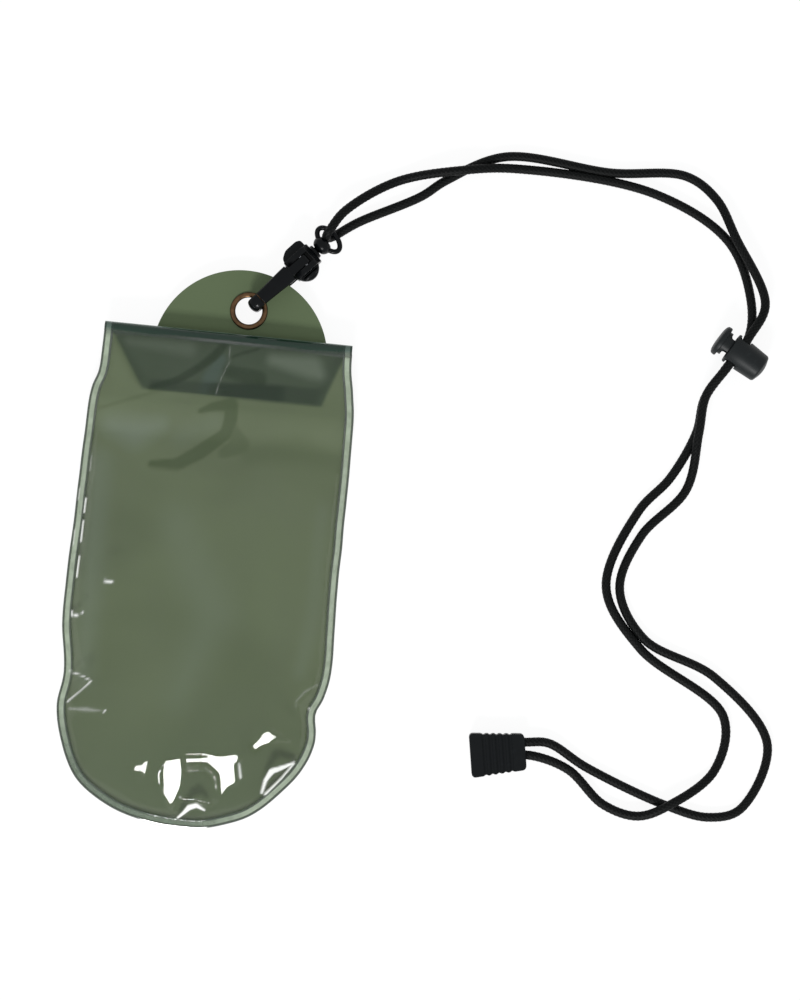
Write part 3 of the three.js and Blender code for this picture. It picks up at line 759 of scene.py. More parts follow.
def dress(piece: bpy.types.Object, finish: bpy.types.Material, body: Body,
          replaced: str) -> bpy.types.Object:
    """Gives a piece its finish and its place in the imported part.

    Args:
        piece: the finished mesh, in the row frame.
        finish: its material.
        body: the body it moves with.
        replaced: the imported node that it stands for.

    Returns:
        The piece.
    """
    piece.data.materials.clear()
    piece.data.materials.append(finish)
    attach(piece, body.value)
    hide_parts(replaced)
    LOG.info("%s: %d faces on %s", piece.name, len(piece.data.polygons), body.value)
    return piece


# Camera and light


@dataclass(frozen=True)
class Studio:
    """White table in even light, one soft lamp in front and a camera that looks straight down.

    Lengths are in metres, apart from centre_mm.
    """

    centre_mm: tuple[float, float] = (68.2, 36.8)
    turn_degrees: float = 5.8
    view_height: float = 0.367
    camera_height: float = 1.5
    sensor: float = 36.0
    sky: Colour = (0.96, 0.98, 1.0, 1.0)
    sky_strength: float = 0.68
    table_half: float = 4.0
    card: Colour = (0.93, 0.93, 0.93, 1.0)
    card_glow: float = 1.04
    glow_share: float = 0.88

    def camera(self) -> None:
        """Makes the camera at the photograph's angle."""
        data = bpy.data.cameras.new("camera")
        data.sensor_fit = "AUTO"
        data.sensor_width = self.sensor
        data.lens = self.sensor * self.camera_height / self.view_height
        camera = bpy.data.objects.new("camera", data)
        camera.location = (self.centre_mm[0] * MM, self.centre_mm[1] * MM, self.camera_height)
        camera.rotation_euler = (0.0, 0.0, math.radians(self.turn_degrees))
        bpy.context.scene.collection.objects.link(camera)
        bpy.context.scene.camera = camera

    def softbox(self, name: str, azimuth: float, elevation: float, size: tuple[float, float],
                power: float, distance: float = 1.3) -> None:
        """Adds one rectangular lamp that faces the pouch.

        Args:
            name: the lamp's name.
            azimuth: its direction on the table, in degrees from +X towards +Y.
            elevation: its height above the table, in degrees.
            size: width and height of the lit face, in metres.
            power: its power in watts.
            distance: how far from the pouch it stands, in metres.
        """
        data = bpy.data.lights.new(name, "AREA")
        data.shape = "RECTANGLE"
        data.size, data.size_y = size
        data.energy = power
        lamp = bpy.data.objects.new(name, data)
        a, e = math.radians(azimuth), math.radians(elevation)
        towards = Vector((math.cos(a) * math.cos(e), math.sin(a) * math.cos(e), math.sin(e)))
        lamp.location = towards * distance + Vector((0.03, 0.0, 0.0))
        lamp.rotation_euler = towards.to_track_quat("Z", "Y").to_euler()
        bpy.context.scene.collection.objects.link(lamp)

    def world(self) -> None:
        """Even white surroundings that the camera sees as pure white."""
        world = bpy.data.worlds.new("surroundings")
        world.use_nodes = True
        bpy.context.scene.world = world
        n = Nodes(world.node_tree, "ShaderNodeOutputWorld")
        light = n.node("ShaderNodeBackground", {}, {"Color": self.sky, "Strength": self.sky_strength})
        shown = n.node("ShaderNodeBackground", {}, {"Color": WHITE})
        seen = n.node("ShaderNodeLightPath", output="Is Camera Ray")
        n.send(n.node("ShaderNodeMixShader", {}, {0: seen, 1: light, 2: shown}))

    def table(self) -> None:
        """White table that fades to pure white and keeps a faint shadow."""
        half = self.table_half / MM
        corners = np.array([(-half, -half, 0), (half, -half, 0), (half, half, 0), (-half, half, 0)])
        table = new_piece("table", corners, [(0, 1, 2, 3)])
        s = Shader("white_table")
        card = s.principled(Base_Color=self.card, Roughness=0.9, Specular_IOR_Level=0.1)
        white = s.node("ShaderNodeEmission", {}, {"Color": WHITE, "Strength": self.card_glow})
        path = s.node("ShaderNodeLightPath", output="Is Camera Ray")
        seen = path.most(path.beside("Is Transmission Ray")).most(path.beside("Is Glossy Ray"))
        shown = s.node("ShaderNodeMixShader", {}, {0: seen * self.glow_share, 1: card, 2: white})
        table.data.materials.append(s.done(shown))

    def build(self) -> None:
        """Makes the camera, the surroundings, the table and the lamp."""
        self.camera()
        bpy.context.scene.view_settings.view_transform = "Standard"
        self.world()
        self.table()
        self.softbox("front_softbox", -95, 42, (0.34, 0.24), 10.0)


# Neck cord


@dataclass
class NeckCord:
    """One braided cord, from the cord end through the lock, round the swivel ring and back."""

    diameter: float = 3.3
    rest_height: float = 1.75
    sides: int = 28
    ring_step: float = 0.36
    strands: int = 8
    lay_length: float = 13.0
    relief: float = 0.3
    mean_height: float = 0.75
    dive: float = 0.38
    route_steps: int = 60
    exit_mm: tuple[float, float, float] = (123.2, -50.2, 3.4)
    route: list[tuple[float, float, float]] = field(default_factory=lambda: [
        (116.2, -52.9, 3.4), (124.8, -51.4, 3.4), (139.5, -55.3, 1.75), (153.5, -66.7, 1.75),
        (166.4, -69.6, 3.2), (177.3, -64.4, 5.4), (192.9, -50.1, 1.9), (194.1, -30.1, 1.75),
        (161.3, -8.5, 1.75), (146.6, 12.7, 1.75), (155.5, 41.3, 1.75), (166.0, 54.9, 1.75),
        (173.8, 72.3, 1.75), (175.5, 85.0, 2.3), (182.1, 96.9, 4.25), (189.1, 108.9, 4.25),
        (188.7, 122.8, 2.1), (178.4, 143.2, 1.75), (149.9, 157.8, 1.75), (99.7, 161.9, 1.8),
        (79.0, 159.1, 5.4), (55.0, 152.6, 2.2), (37.4, 139.7, 6.2), (32.9, 132.5, 7.55),
        (31.9, 130.6, 6.7), (31.7, 129.5, 4.6), (32.8, 129.7, 2.55), (34.7, 130.8, 1.75),
        (42.6, 136.4, 1.75), (64.6, 148.2, 1.75), (73.2, 155.0, 1.75), (93.8, 165.8, 1.75),
        (133.1, 163.9, 1.75), (160.6, 165.4, 1.75), (172.4, 158.1, 2.6), (180.8, 144.5, 5.1),
        (193.9, 121.5, 5.5), (189.1, 108.9, 7.75), (182.1, 96.9, 7.75), (175.7, 86.1, 6.0),
        (174.5, 72.3, 5.2), (172.2, 51.1, 1.75), (157.5, 32.6, 1.75), (151.6, 12.5, 1.75),
        (162.4, -4.9, 1.75), (189.4, -16.2, 1.75), (211.2, -38.7, 1.75), (203.7, -63.4, 1.75),
        (192.4, -67.5, 1.75), (176.3, -64.7, 1.75), (146.0, -53.8, 1.75), (131.5, -46.4, 2.5),
        (123.6, -46.7, 3.4), (115.0, -48.2, 3.4),
    ])

    def centre_line(self) -> np.ndarray:
        """The smooth line through the route's points, with even steps of ring_step."""
        points = np.array(self.route, float)
        padded = np.vstack([2 * points[0] - points[1], points, 2 * points[-1] - points[-2]])
        dense = []
        for p0, p1, p2, p3 in zip(padded[:-3], padded[1:-2], padded[2:-1], padded[3:]):
            t0, t1, t2 = (math.sqrt(np.linalg.norm(b - a)) for a, b in ((p0, p1), (p1, p2), (p2, p3)))
            start = ((p1 - p0) / t0 - (p2 - p0) / (t0 + t1) + (p2 - p1) / t1) * t1
            end = ((p2 - p1) / t1 - (p3 - p1) / (t1 + t2) + (p3 - p2) / t2) * t1
            t = np.linspace(0, 1, self.route_steps, endpoint=False)[:, None]
            dense.append(p1 + start * t + (3 * (p2 - p1) - 2 * start - end) * t ** 2
                         + (2 * (p1 - p2) + start + end) * t ** 3)
        line = np.vstack([*dense, points[-1:]])
        line[:, 2] = np.maximum(line[:, 2], self.rest_height)
        run = run_along(line)
        even = np.linspace(0, run[-1], int(run[-1] / self.ring_step) + 1)
        return np.stack([np.interp(even, run, line[:, axis]) for axis in range(3)], axis=1)

    def frames(self, line: np.ndarray) -> tuple[np.ndarray, np.ndarray]:
        """Two directions across the line at each point, carried along it without twist."""
        steps = directions(line)
        first = np.zeros_like(line)
        first[0] = np.cross(steps[0], (0.0, 0.0, 1.0))
        for i in range(len(line)):
            carried = first[max(i - 1, 0)]
            carried = carried - steps[i] * np.dot(carried, steps[i])
            first[i] = carried / np.linalg.norm(carried)
        return first, np.cross(steps, first)

    def braid(self, around: np.ndarray, along: np.ndarray) -> np.ndarray:
        """Height of the braid, 0 in a valley and 1 on a crown.

        Args:
            around: share of a turn round the cord.
            along: distance along the cord in millimetres.

        Returns:
            The height at each point.
        """
        right = self.strands * (around + along / self.lay_length)
        left = self.strands * (around - along / self.lay_length)
        over = (np.floor(right) + np.floor(left)) % 2 < 0.5
        a, b = right % 1.0, left % 1.0
        return np.where(over, self.strand(a, b), self.strand(b, a))

    def strand(self, across: np.ndarray, along: np.ndarray) -> np.ndarray:
        """Height of one strand: round across, and lower where it dives under the next."""
        arch = np.sqrt(np.clip(1 - (2 * across - 1) ** 2, 0, 1))
        return arch * (1 - self.dive + self.dive * np.sin(math.pi * along))

    def build(self, finish: bpy.types.Material) -> tuple[bpy.types.Object, list[list[float]]]:
        """Makes the cord.

        Args:
            finish: the braid's material.

        Returns:
            The cord and its centre line in metres.
        """
        line = self.centre_line()
        first, second = self.frames(line)
        share = np.arange(self.sides) / self.sides
        height = self.braid(share[None, :], run_along(line)[:, None])
        radius = self.diameter / 2 + (height - self.mean_height) * self.relief
        angle = 2 * math.pi * share
        round_line = (first[:, None, :] * np.cos(angle)[None, :, None]
                      + second[:, None, :] * np.sin(angle)[None, :, None])
        skin = line[:, None, :] + round_line * radius[:, :, None]
        vertices = np.concatenate([skin.reshape(-1, 3), line[:1], line[-1:]])
        faces = grid_faces(len(line), self.sides, True).tolist()
        count = len(line) * self.sides
        for i in range(self.sides):
            follow = (i + 1) % self.sides
            faces.append([count, follow, i])
            faces.append([count + 1, count - self.sides + i, count - self.sides + follow])
        cord = new_piece("braided_neck_cord", vertices, faces)
        # The strand height also paints the braid's crowns lighter and its valleys darker.
        set_values(cord, "crown", np.concatenate([height.ravel(), [0.5, 0.5]]))
        dress(cord, finish, Body.LANYARD, "neck_cord")
        return cord, (line[::3] * MM).tolist()


# Pouch


@dataclass
class Outline:
    """The pouch's edge, from the middle of its bottom up each side to the top fold."""

    left: list[tuple[float, float]] = field(default_factory=lambda: [
        (4.1, -90.7), (-11.1, -90.0), (-26.7, -85.7), (-39.8, -76.7), (-46.7, -63.4), (-49.4, -50.8),
        (-48.1, -37.5), (-50.5, -20.3), (-50.7, -6.3), (-50.0, 25.0), (-49.4, 50.7), (-48.3, 65.5),
        (-46.2, 73.1), (-45.5, 82.0), (-45.4, 91.1),
    ])
    right: list[tuple[float, float]] = field(default_factory=lambda: [
        (4.1, -90.7), (18.8, -87.2), (28.5, -81.5), (38.6, -71.0), (43.6, -63.0), (45.9, -56.0),
        (46.1, -51.0), (45.3, -44.5), (47.8, -38.0), (49.6, -25.6), (48.7, -2.1), (48.7, 25.2),
        (48.5, 60.6), (47.2, 73.0), (45.8, 82.0), (45.3, 91.1),
    ])
    row_shares: tuple[float, ...] = (0.0, 0.50, 0.76, 1.0)
    run_shares: tuple[float, ...] = (0.0, 0.44, 0.77, 1.0)
    edge_steps: int = 40
    wave_height: float = 0.22
    wave_pitch: float = 0.09

    def side(self, points: Sequence[tuple[float, float]], count: int) -> np.ndarray:
        """A smooth line through the points of one side, in steps that are shortest along the bottom."""
        given = np.array(points, float)
        mirrored = np.array([2 * given[0, 0] - given[1, 0], given[1, 1]])
        padded = np.vstack([mirrored, given, 2 * given[-1] - given[-2]])
        dense = []
        for p0, p1, p2, p3 in zip(padded[:-3], padded[1:-2], padded[2:-1], padded[3:]):
            t = np.linspace(0, 1, self.edge_steps, endpoint=False)[:, None]
            dense.append(0.5 * (2 * p1 + (p2 - p0) * t + (2 * p0 - 5 * p1 + 4 * p2 - p3) * t ** 2
                                + (3 * p1 - p0 - 3 * p2 + p3) * t ** 3))
        line = np.vstack([*dense, given[-1:]])
        run = run_along(line)
        steps = np.interp(np.linspace(0, 1, count), self.row_shares, self.run_shares) * run[-1]
        return np.stack([np.interp(steps, run, line[:, axis]) for axis in range(2)], axis=1)

    def waved(self, line: np.ndarray, seed: float) -> np.ndarray:
        """The line with the slight waves that a hot weld leaves."""
        shift = [self.wave_height * noise.noise((seed, *(p * self.wave_pitch))) for p in line]
        return line + np.stack([np.array(shift), np.zeros(len(line))], axis=1)


@dataclass(frozen=True)
class Crease:
    """A fold pressed into the film, as a line from start to end."""

    start: tuple[float, float]
    end: tuple[float, float]
    height: float
    width: float

    def lift(self, x: np.ndarray, y: np.ndarray) -> np.ndarray:
        """How far the crease lifts each point, in millimetres."""
        share, away = from_stretch(x, y, self.start, self.end)
        taper = 0.25 + 0.75 * np.sin(math.pi * np.clip(share, 0.02, 0.98)) ** 0.5
        return self.height * taper * np.exp(-np.abs(away / self.width) ** 1.4)


@dataclass(frozen=True)
class Facet:
    """A flat panel of stretched film between creases, tilted so that it catches the front light."""

    corners: Sequence[tuple[float, float]]
    slope: tuple[float, float] = (0.005, 0.382)
    soft: float = 0.7

    def share(self, x: np.ndarray, y: np.ndarray) -> np.ndarray:
        """1 inside the panel and 0 outside, with a soft edge."""
        inside = np.zeros(x.shape, bool)
        away = np.full(x.shape, np.inf)
        for (ax, ay), (bx, by) in zip(self.corners, (*self.corners[1:], self.corners[0])):
            away = np.minimum(away, from_stretch(x, y, (ax, ay), (bx, by))[1])
            if ay != by:
                inside ^= ((ay > y) != (by > y)) & (x < ax + (y - ay) * (bx - ax) / (by - ay))
        return smoothstep(-self.soft, 0.3 * self.soft, np.where(inside, away, -away))

    def press(self, x: np.ndarray, y: np.ndarray, z: np.ndarray) -> np.ndarray:
        """The film's height with the panel pressed into it."""
        share = self.share(x, y)
        plane = self.slope[0] * x + self.slope[1] * y
        shift = ((z - plane) * share).sum() / share.sum()
        return lerp(z, plane + shift, share)


@dataclass(frozen=True)
class Stroke:
    """A soft mark through points, each with its half width."""

    points: Sequence[tuple[float, float, float]]
    soft: float = 0.6
    strength: float = 1.0

    def cover(self, x: np.ndarray, y: np.ndarray) -> np.ndarray:
        """How much the mark covers each point, from 0 to its strength."""
        best = np.zeros_like(x)
        for (ax, ay, wide_a), (bx, by, wide_b) in zip(self.points[:-1], self.points[1:]):
            share, away = from_stretch(x, y, (ax, ay), (bx, by))
            best = np.maximum(best, 1 - smoothstep(-self.soft, self.soft, away - lerp(wide_a, wide_b, share)))
        return best * self.strength


def marks(strokes: Sequence[Stroke], x: np.ndarray, y: np.ndarray) -> np.ndarray:
    """The strongest mark at each point."""
    return np.maximum.reduce([stroke.cover(x, y) for stroke in strokes])


@dataclass
class Pouch:
    """The welded pouch: its filled film, the sheet behind it, the folded flap and the hang tab."""

    sheet_thickness: float = 0.5
    film_thickness: float = 0.4
    gap: float = 0.3
    weld_width: float = 3.0
    fill_height: float = 14.0
    fill_slope: float = 34.0
    fill_roundness: float = 2.2
    fill_flatness: float = 0.8
    fill_top: float = 30.0
    fold_fill: float = 2.2
    fold_run: float = 5.1
    top_fold: float = 91.1
    top_half: float = 45.4
    shoulder: float = 50.0
    lower_crease: float = 68.0
    flap_left: float = -30.0
    flap_right: float = 36.5
    strip_thickness: float = 0.6
    strip_width: float = 5.5
    strip_margin: float = 2.25
    tab_centre: tuple[float, float] = (4.5, 82.5)
    tab_radius: float = 32.2
    eyelet: tuple[float, float] = EYELET_CENTRE
    eyelet_hole: float = 5.6
    tab_height: float = 4.2
    fold_line: float = 87.5
    fold_clearance: float = 0.7
    fold_approach: float = 9.0
    film_reach: float = 1.2
    sheet_thinning: float = 35.0
    body_rows: int = 232
    columns: int = 168
    seam_columns: int = 20
    seam_share: float = 0.05
    fold_rows_round: int = 22
    lip_rows: int = 22
    turn_rows: int = 16
    flap_rows: int = 26
    crease_rows: int = 14
    tongue_rows: int = 18
    tab_rows: int = 74
    tab_sweep: float = 0.497
    outline: Outline = field(default_factory=Outline)
    creases: list[Crease] = field(default_factory=lambda: [
        Crease((-46.0, -37.0), (-36.5, -39.7), 0.7, 1.0),
        Crease((-37.0, -39.0), (-45.0, -49.5), 0.8, 1.0),
        Crease((-43.5, -27.0), (-37.5, -39.0), 0.6, 1.4),
        Crease((-44.0, -51.5), (-31.0, -50.0), 0.8, 2.0),
        Crease((-44.0, -20.0), (-32.0, -26.0), -0.7, 3.0),
        Crease((45.0, -34.5), (37.5, -42.0), 0.8, 1.3),
        Crease((37.6, -42.0), (41.8, -49.0), 0.7, 1.1),
        Crease((36.0, -30.0), (44.5, -24.0), -0.6, 3.0),
        Crease((-13.0, -64.0), (-16.0, -84.0), -0.5, 3.4),
        Crease((3.6, -68.0), (5.5, -86.0), -1.7, 4.2),
        Crease((23.5, -64.0), (27.5, -80.0), -1.2, 2.6),
        Crease((-28.0, -56.0), (-38.0, -72.0), -0.9, 2.2),
        Crease((33.0, -52.0), (41.5, -60.0), -0.8, 1.6),
        Crease((-20.0, 44.0), (-40.0, 66.0), 0.7, 3.5),
        Crease((26.0, 44.0), (42.0, 64.0), 0.7, 3.5),
        Crease((4.0, 46.0), (9.0, 74.0), 0.5, 2.5),
        Crease((-5.0, 44.0), (-22.0, 62.0), -0.5, 4.0),
    ])
    facets: list[Facet] = field(default_factory=lambda: [
        Facet([(-8.0, -71.6), (-7.5, -67.5), (-6.3, -65.2), (-0.5, -63.9), (-0.8, -68.3), (-1.1, -72.4),
               (-1.4, -76.5), (-2.5, -80.7), (-3.9, -83.4), (-5.9, -80.3), (-7.4, -75.6)]),
        Facet([(-0.5, -64.2), (4.6, -63.4), (11.9, -62.2), (19.0, -60.0), (20.4, -62.9), (18.4, -64.9),
               (19.1, -68.5), (19.5, -72.0), (16.4, -74.0), (15.1, -75.6), (14.0, -77.5), (12.9, -72.8),
               (12.2, -69.2), (10.2, -67.9), (7.8, -66.3), (4.9, -65.9), (2.0, -66.6), (-0.1, -67.5)]),
        Facet([(22.5, -57.8), (25.8, -53.8), (29.1, -50.2), (31.5, -52.1), (33.8, -53.4), (36.9, -54.9),
               (32.2, -55.0), (29.7, -56.4), (27.0, -58.5), (24.2, -60.6)]),
        Facet([(0.4, -69.0), (4.9, -67.6), (9.4, -69.6), (11.2, -73.5), (12.6, -79.0), (10.0, -81.0),
               (4.0, -80.0), (-0.4, -80.5)], (0.04, 0.2)),
    ])
    glints: list[Stroke] = field(default_factory=lambda: [
        Stroke([(28.6, -74.9, 0.5), (29.6, -70.0, 0.75), (31.5, -66.5, 1.1), (34.7, -65.1, 0.9),
                (39.2, -62.8, 0.4)], 0.35),
        Stroke([(39.2, -63.2, 0.35), (35.1, -69.1, 0.35), (29.8, -75.5, 0.45)], 0.35),
        Stroke([(-1.1, -87.2, 0.4), (0.9, -85.1, 0.6), (2.9, -82.7, 1.05), (5.4, -81.7, 0.95),
                (8.5, -83.2, 0.4)], 0.35),
        Stroke([(19.6, -64.8, 0.4), (20.6, -69.9, 0.45)], 0.35),
        Stroke([(-46.3, 25.9, 0.3), (-46.4, 20.7, 0.3)], 0.2),
        Stroke([(-46.4, 17.8, 0.3), (-46.5, 10.0, 0.3)], 0.2),
        Stroke([(-46.5, 4.1, 0.3), (-46.7, -2.9, 0.3)], 0.2),
        Stroke([(-45.9, 41.8, 0.22), (-45.9, 36.3, 0.22)], 0.2, 0.5),
        Stroke([(-49.1, 29.3, 0.22), (-49.2, 24.9, 0.22)], 0.2, 0.7),
        Stroke([(-49.4, 13.8, 0.22), (-49.4, 8.3, 0.22)], 0.2, 0.7),
        Stroke([(-35.8, -3.1, 0.6), (-33.2, -3.4, 0.6)], 0.35),
        Stroke([(-47.3, -15.5, 0.3), (-46.9, -17.9, 0.4), (-43.0, -16.0, 0.35)], 0.3),
        Stroke([(-46.0, -37.9, 0.3), (-40.7, -38.8, 0.35), (-37.2, -40.3, 0.4), (-40.9, -44.4, 0.3),
                (-45.4, -48.9, 0.4)], 0.35, 0.8),
        Stroke([(-44.6, -51.4, 0.3), (-38.0, -50.7, 0.9), (-32.5, -50.5, 0.3)], 0.9, 0.45),
        Stroke([(-31.2, -50.8, 0.4), (-30.9, -50.4, 0.4)], 0.3),
        Stroke([(45.1, -33.4, 0.3), (40.6, -36.5, 0.5), (38.0, -40.0, 0.4), (37.9, -42.6, 0.3)], 0.6, 0.3),
        Stroke([(42.7, -42.7, 0.35), (42.9, -42.9, 0.35)], 0.3),
        Stroke([(0.8, 86.0, 0.25), (1.4, 80.9, 0.25), (-1.0, 74.8, 0.25), (-2.5, 68.4, 0.25)], 0.35, 0.3),
    ])
    cling: list[Stroke] = field(default_factory=lambda: [
        Stroke([(-4.3, 89.2, 0.9), (-1.1, 86.9, 1.4), (-4.3, 82.6, 1.6), (-9.7, 77.6, 1.4), (-16.6, 72.5, 1.3),
                (-26.5, 68.5, 1.1)], 0.45, 1.0),
        Stroke([(-17.8, 69.8, 0.6), (-31.3, 64.7, 0.5), (-44.8, 59.3, 0.5)], 0.7, 0.45),
        Stroke([(-7.8, 61.9, 0.9), (-3.2, 63.9, 1.6), (3.3, 65.3, 2.5), (3.5, 59.8, 2.4), (2.2, 54.5, 2.2),
                (-6.6, 46.9, 2.6), (-14.2, 41.7, 2.2), (-23.7, 40.8, 1.4)], 0.5, 1.0),
        Stroke([(3.0, 58.0, 2.0), (8.0, 51.0, 3.4), (2.0, 47.5, 2.0)], 0.6, 0.55),
        Stroke([(1.9, 82.5, 0.4), (5.5, 84.3, 0.5), (10.8, 86.3, 0.5), (12.1, 87.6, 0.4)], 0.45, 0.9),
        Stroke([(1.4, 77.2, 2.2), (11.9, 75.4, 3.3)], 1.0, 0.85),
        Stroke([(-40.3, 84.4, 1.1), (-36.4, 78.6, 1.8), (-31.3, 71.7, 2.2)], 2.0, 0.5),
        Stroke([(42.6, 88.8, 1.1), (38.0, 79.9, 1.8), (35.7, 73.4, 1.5)], 2.0, 0.45),
        Stroke([(11.8, 47.7, 3.5), (29.8, 51.4, 5.0), (43.1, 48.3, 3.0)], 3.5, 0.35),
    ])
    # Where the painted sheen lies on the sheet.
    painted_sheen: list[Stroke] = field(default_factory=lambda: [
        Stroke([(-39.7, 53.5, 3.0), (-31.1, 51.8, 5.0), (-22.2, 55.3, 2.0)], 5.0, 0.8),
        Stroke([(-43.0, 40.0, 3.0), (-42.0, 0.0, 3.5), (-41.0, -40.0, 2.0)], 6.0, 0.55),
        Stroke([(-2.0, 58.0, 3.0), (-14.0, 52.0, 3.0)], 5.0, 0.3),
        Stroke([(40.0, 30.0, 1.5), (41.0, -10.0, 2.0), (38.0, -30.0, 1.5)], 4.0, 0.3),
        Stroke([(-12.0, 20.0, 5.0), (4.0, -12.0, 7.0), (-6.0, -44.0, 4.0)], 9.0, 0.3),
    ])
    pale: list[Stroke] = field(default_factory=lambda: [
        Stroke([(17.0, 83.0, 2.0), (31.2, 81.7, 4.0), (35.1, 79.2, 2.0)], 2.4, 0.95),
        Stroke([(-36.0, 84.5, 1.0), (-14.0, 84.0, 2.5)], 2.5, 0.5),
    ])
    blue: list[Stroke] = field(default_factory=lambda: [
        Stroke([(-2.0, 81.3, 1.8), (-5.0, 74.4, 2.9), (-7.1, 69.7, 1.8)], 1.5, 0.9),
    ])

    @property
    def lip(self) -> float:
        """Height of the film's lip under the flap."""
        return self.sheet_thickness + self.gap + self.film_thickness / 2

    @property
    def flap_height(self) -> float:
        """Height of the flap's middle surface."""
        return self.lip + self.film_thickness / 2 + self.gap + self.sheet_thickness / 2

    @property
    def body_height(self) -> float:
        """Height of the sheet above the folded flap."""
        strips = self.flap_height + self.sheet_thickness / 2 + self.gap * 1.5 + 2 * self.strip_thickness
        return strips + self.gap / 2 + self.sheet_thickness / 2

    @property
    def film_rest(self) -> float:
        """From the sheet's middle to the film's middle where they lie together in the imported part."""
        return self.sheet_thickness / 2 + self.gap + self.film_thickness / 2

    @property
    def fold_start(self) -> float:
        """Where the film starts to turn round the top fold."""
        return self.top_fold - self.fold_run

    @property
    def sheet_radius(self) -> float:
        """Radius of the sheet's turn at the top fold."""
        return (self.body_height - self.flap_height) / 2

    @property
    def sheet_fold(self) -> float:
        """Where the sheet starts to turn at the top fold."""
        return self.top_fold - self.fold_clearance - 2 * self.sheet_radius

    def lift(self, y: np.ndarray | float) -> np.ndarray | float:
        """How far the hook's spine lifts the upper layers off the table."""
        return self.tab_height * smoothstep(self.lower_crease - 8, 93.0, y)

    def sheet_height(self, y: np.ndarray | float) -> np.ndarray | float:
        """Height of the sheet's middle surface under the film."""
        flat = self.sheet_thickness / 2
        rise = smoothstep(self.shoulder, self.lower_crease - 3, y)
        return flat + (self.body_height - flat) * rise + self.lift(y)

    def fold_radius(self, x: np.ndarray) -> np.ndarray:
        """Radius of the film's turn round the top fold."""
        swell = self.fold_fill * (1 - np.clip(np.abs(x) / self.top_half, 0, 1) ** 4)
        return (self.body_height + self.film_rest + swell - self.lip) / 2

    def stations(self) -> tuple[np.ndarray, np.ndarray]:
        """Points up the left edge and the right edge that the rows of the body join."""
        left = self.outline.waved(self.outline.side(self.outline.left, self.body_rows + 1), 3.0)
        right = self.outline.waved(self.outline.side(self.outline.right, self.body_rows + 1), 8.0)
        return left[1:], right[1:]

    def across(self) -> np.ndarray:
        """Shares across a row, closer together at the welds."""
        seam = np.linspace(0, self.seam_share, self.seam_columns)
        count = self.columns - 2 * self.seam_columns
        middle = np.linspace(self.seam_share, 1 - self.seam_share, count + 2)[1:-1]
        return np.concatenate([seam, middle, 1 - seam[::-1]])

    def edge_distance(self, x: np.ndarray, y: np.ndarray) -> np.ndarray:
        """Distance from each point to the welded edge, in millimetres."""
        left, right = self.stations()
        line = np.vstack([left[::-1], self.outline.left[0], right])
        best = np.full(x.shape, np.inf)
        for start, end in zip(line[:-1], line[1:]):
            best = np.minimum(best, from_stretch(x, y, start, end)[1])
        return best

    def body_grid(self, top: float) -> tuple[np.ndarray, np.ndarray]:
        """Points of the body, row by row, up to a height Y."""
        left, right = self.stations()
        share = self.across()
        x = lerp(left[:, :1], right[:, :1], share[None, :])
        y = lerp(left[:, 1:], right[:, 1:], share[None, :])
        keep = y.max(axis=1) < top
        return x[keep], y[keep]

    def fill(self, x: np.ndarray, y: np.ndarray, edge: np.ndarray) -> np.ndarray:
        """How far the film stands off the sheet."""
        reach = np.clip((edge - self.weld_width) / self.fill_slope, 0, 1)
        height = lerp(self.fill_height, self.fold_fill, smoothstep(self.fill_top, self.fold_start, y))
        return height * (1 - (1 - reach) ** self.fill_roundness) ** self.fill_flatness

    def wrinkles(self, x: np.ndarray, y: np.ndarray, edge: np.ndarray) -> np.ndarray:
        """Creases and ripples of the film, fading out at the weld."""
        total = np.zeros_like(x)
        for crease in self.creases:
            total += crease.lift(x, y)
        scale, layer, falloff, lacunarity, octaves = 0.055, 1.7, 0.7, 2.1, 3
        ripple = np.array([
            noise.fractal((px * scale, py * scale, layer), falloff, lacunarity, octaves)
            for px, py in zip(x.ravel(), y.ravel())
        ]).reshape(x.shape)
        slope = bell(edge, 11.0, 9.0)
        low = 1 - smoothstep(-60.0, -30.0, y)
        total += ripple * (0.16 + 0.3 * slope * low + 0.2 * slope)
        return total * smoothstep(2.8, 6.5, edge)

    def film_fold(self, share: np.ndarray) -> tuple[list[np.ndarray], list[np.ndarray], list[np.ndarray]]:
        """Rows of the film round the top fold and down to its lip."""
        left, right = self.stations()
        xs, ys, zs = [], [], []
        x = lerp(left[-1, 0], right[-1, 0], share)
        radius = self.fold_radius(x)
        for angle in np.linspace(math.pi / 2, -math.pi / 2, self.fold_rows_round):
            xs.append(x)
            ys.append(self.top_fold - self.film_thickness / 2 - radius + radius * math.cos(angle))
            zs.append(self.lip + radius * (1 + math.sin(angle)) + self.lift(self.top_fold))
        for y in np.linspace(self.fold_start - 2, self.lower_crease + 1.6, self.lip_rows):
            low, high = self.flap_sides(y)
            xs.append(lerp(low, high, share))
            ys.append(np.full_like(share, y))
            zs.append(np.full_like(share, self.lip + self.lift(y)))
        return xs, ys, zs

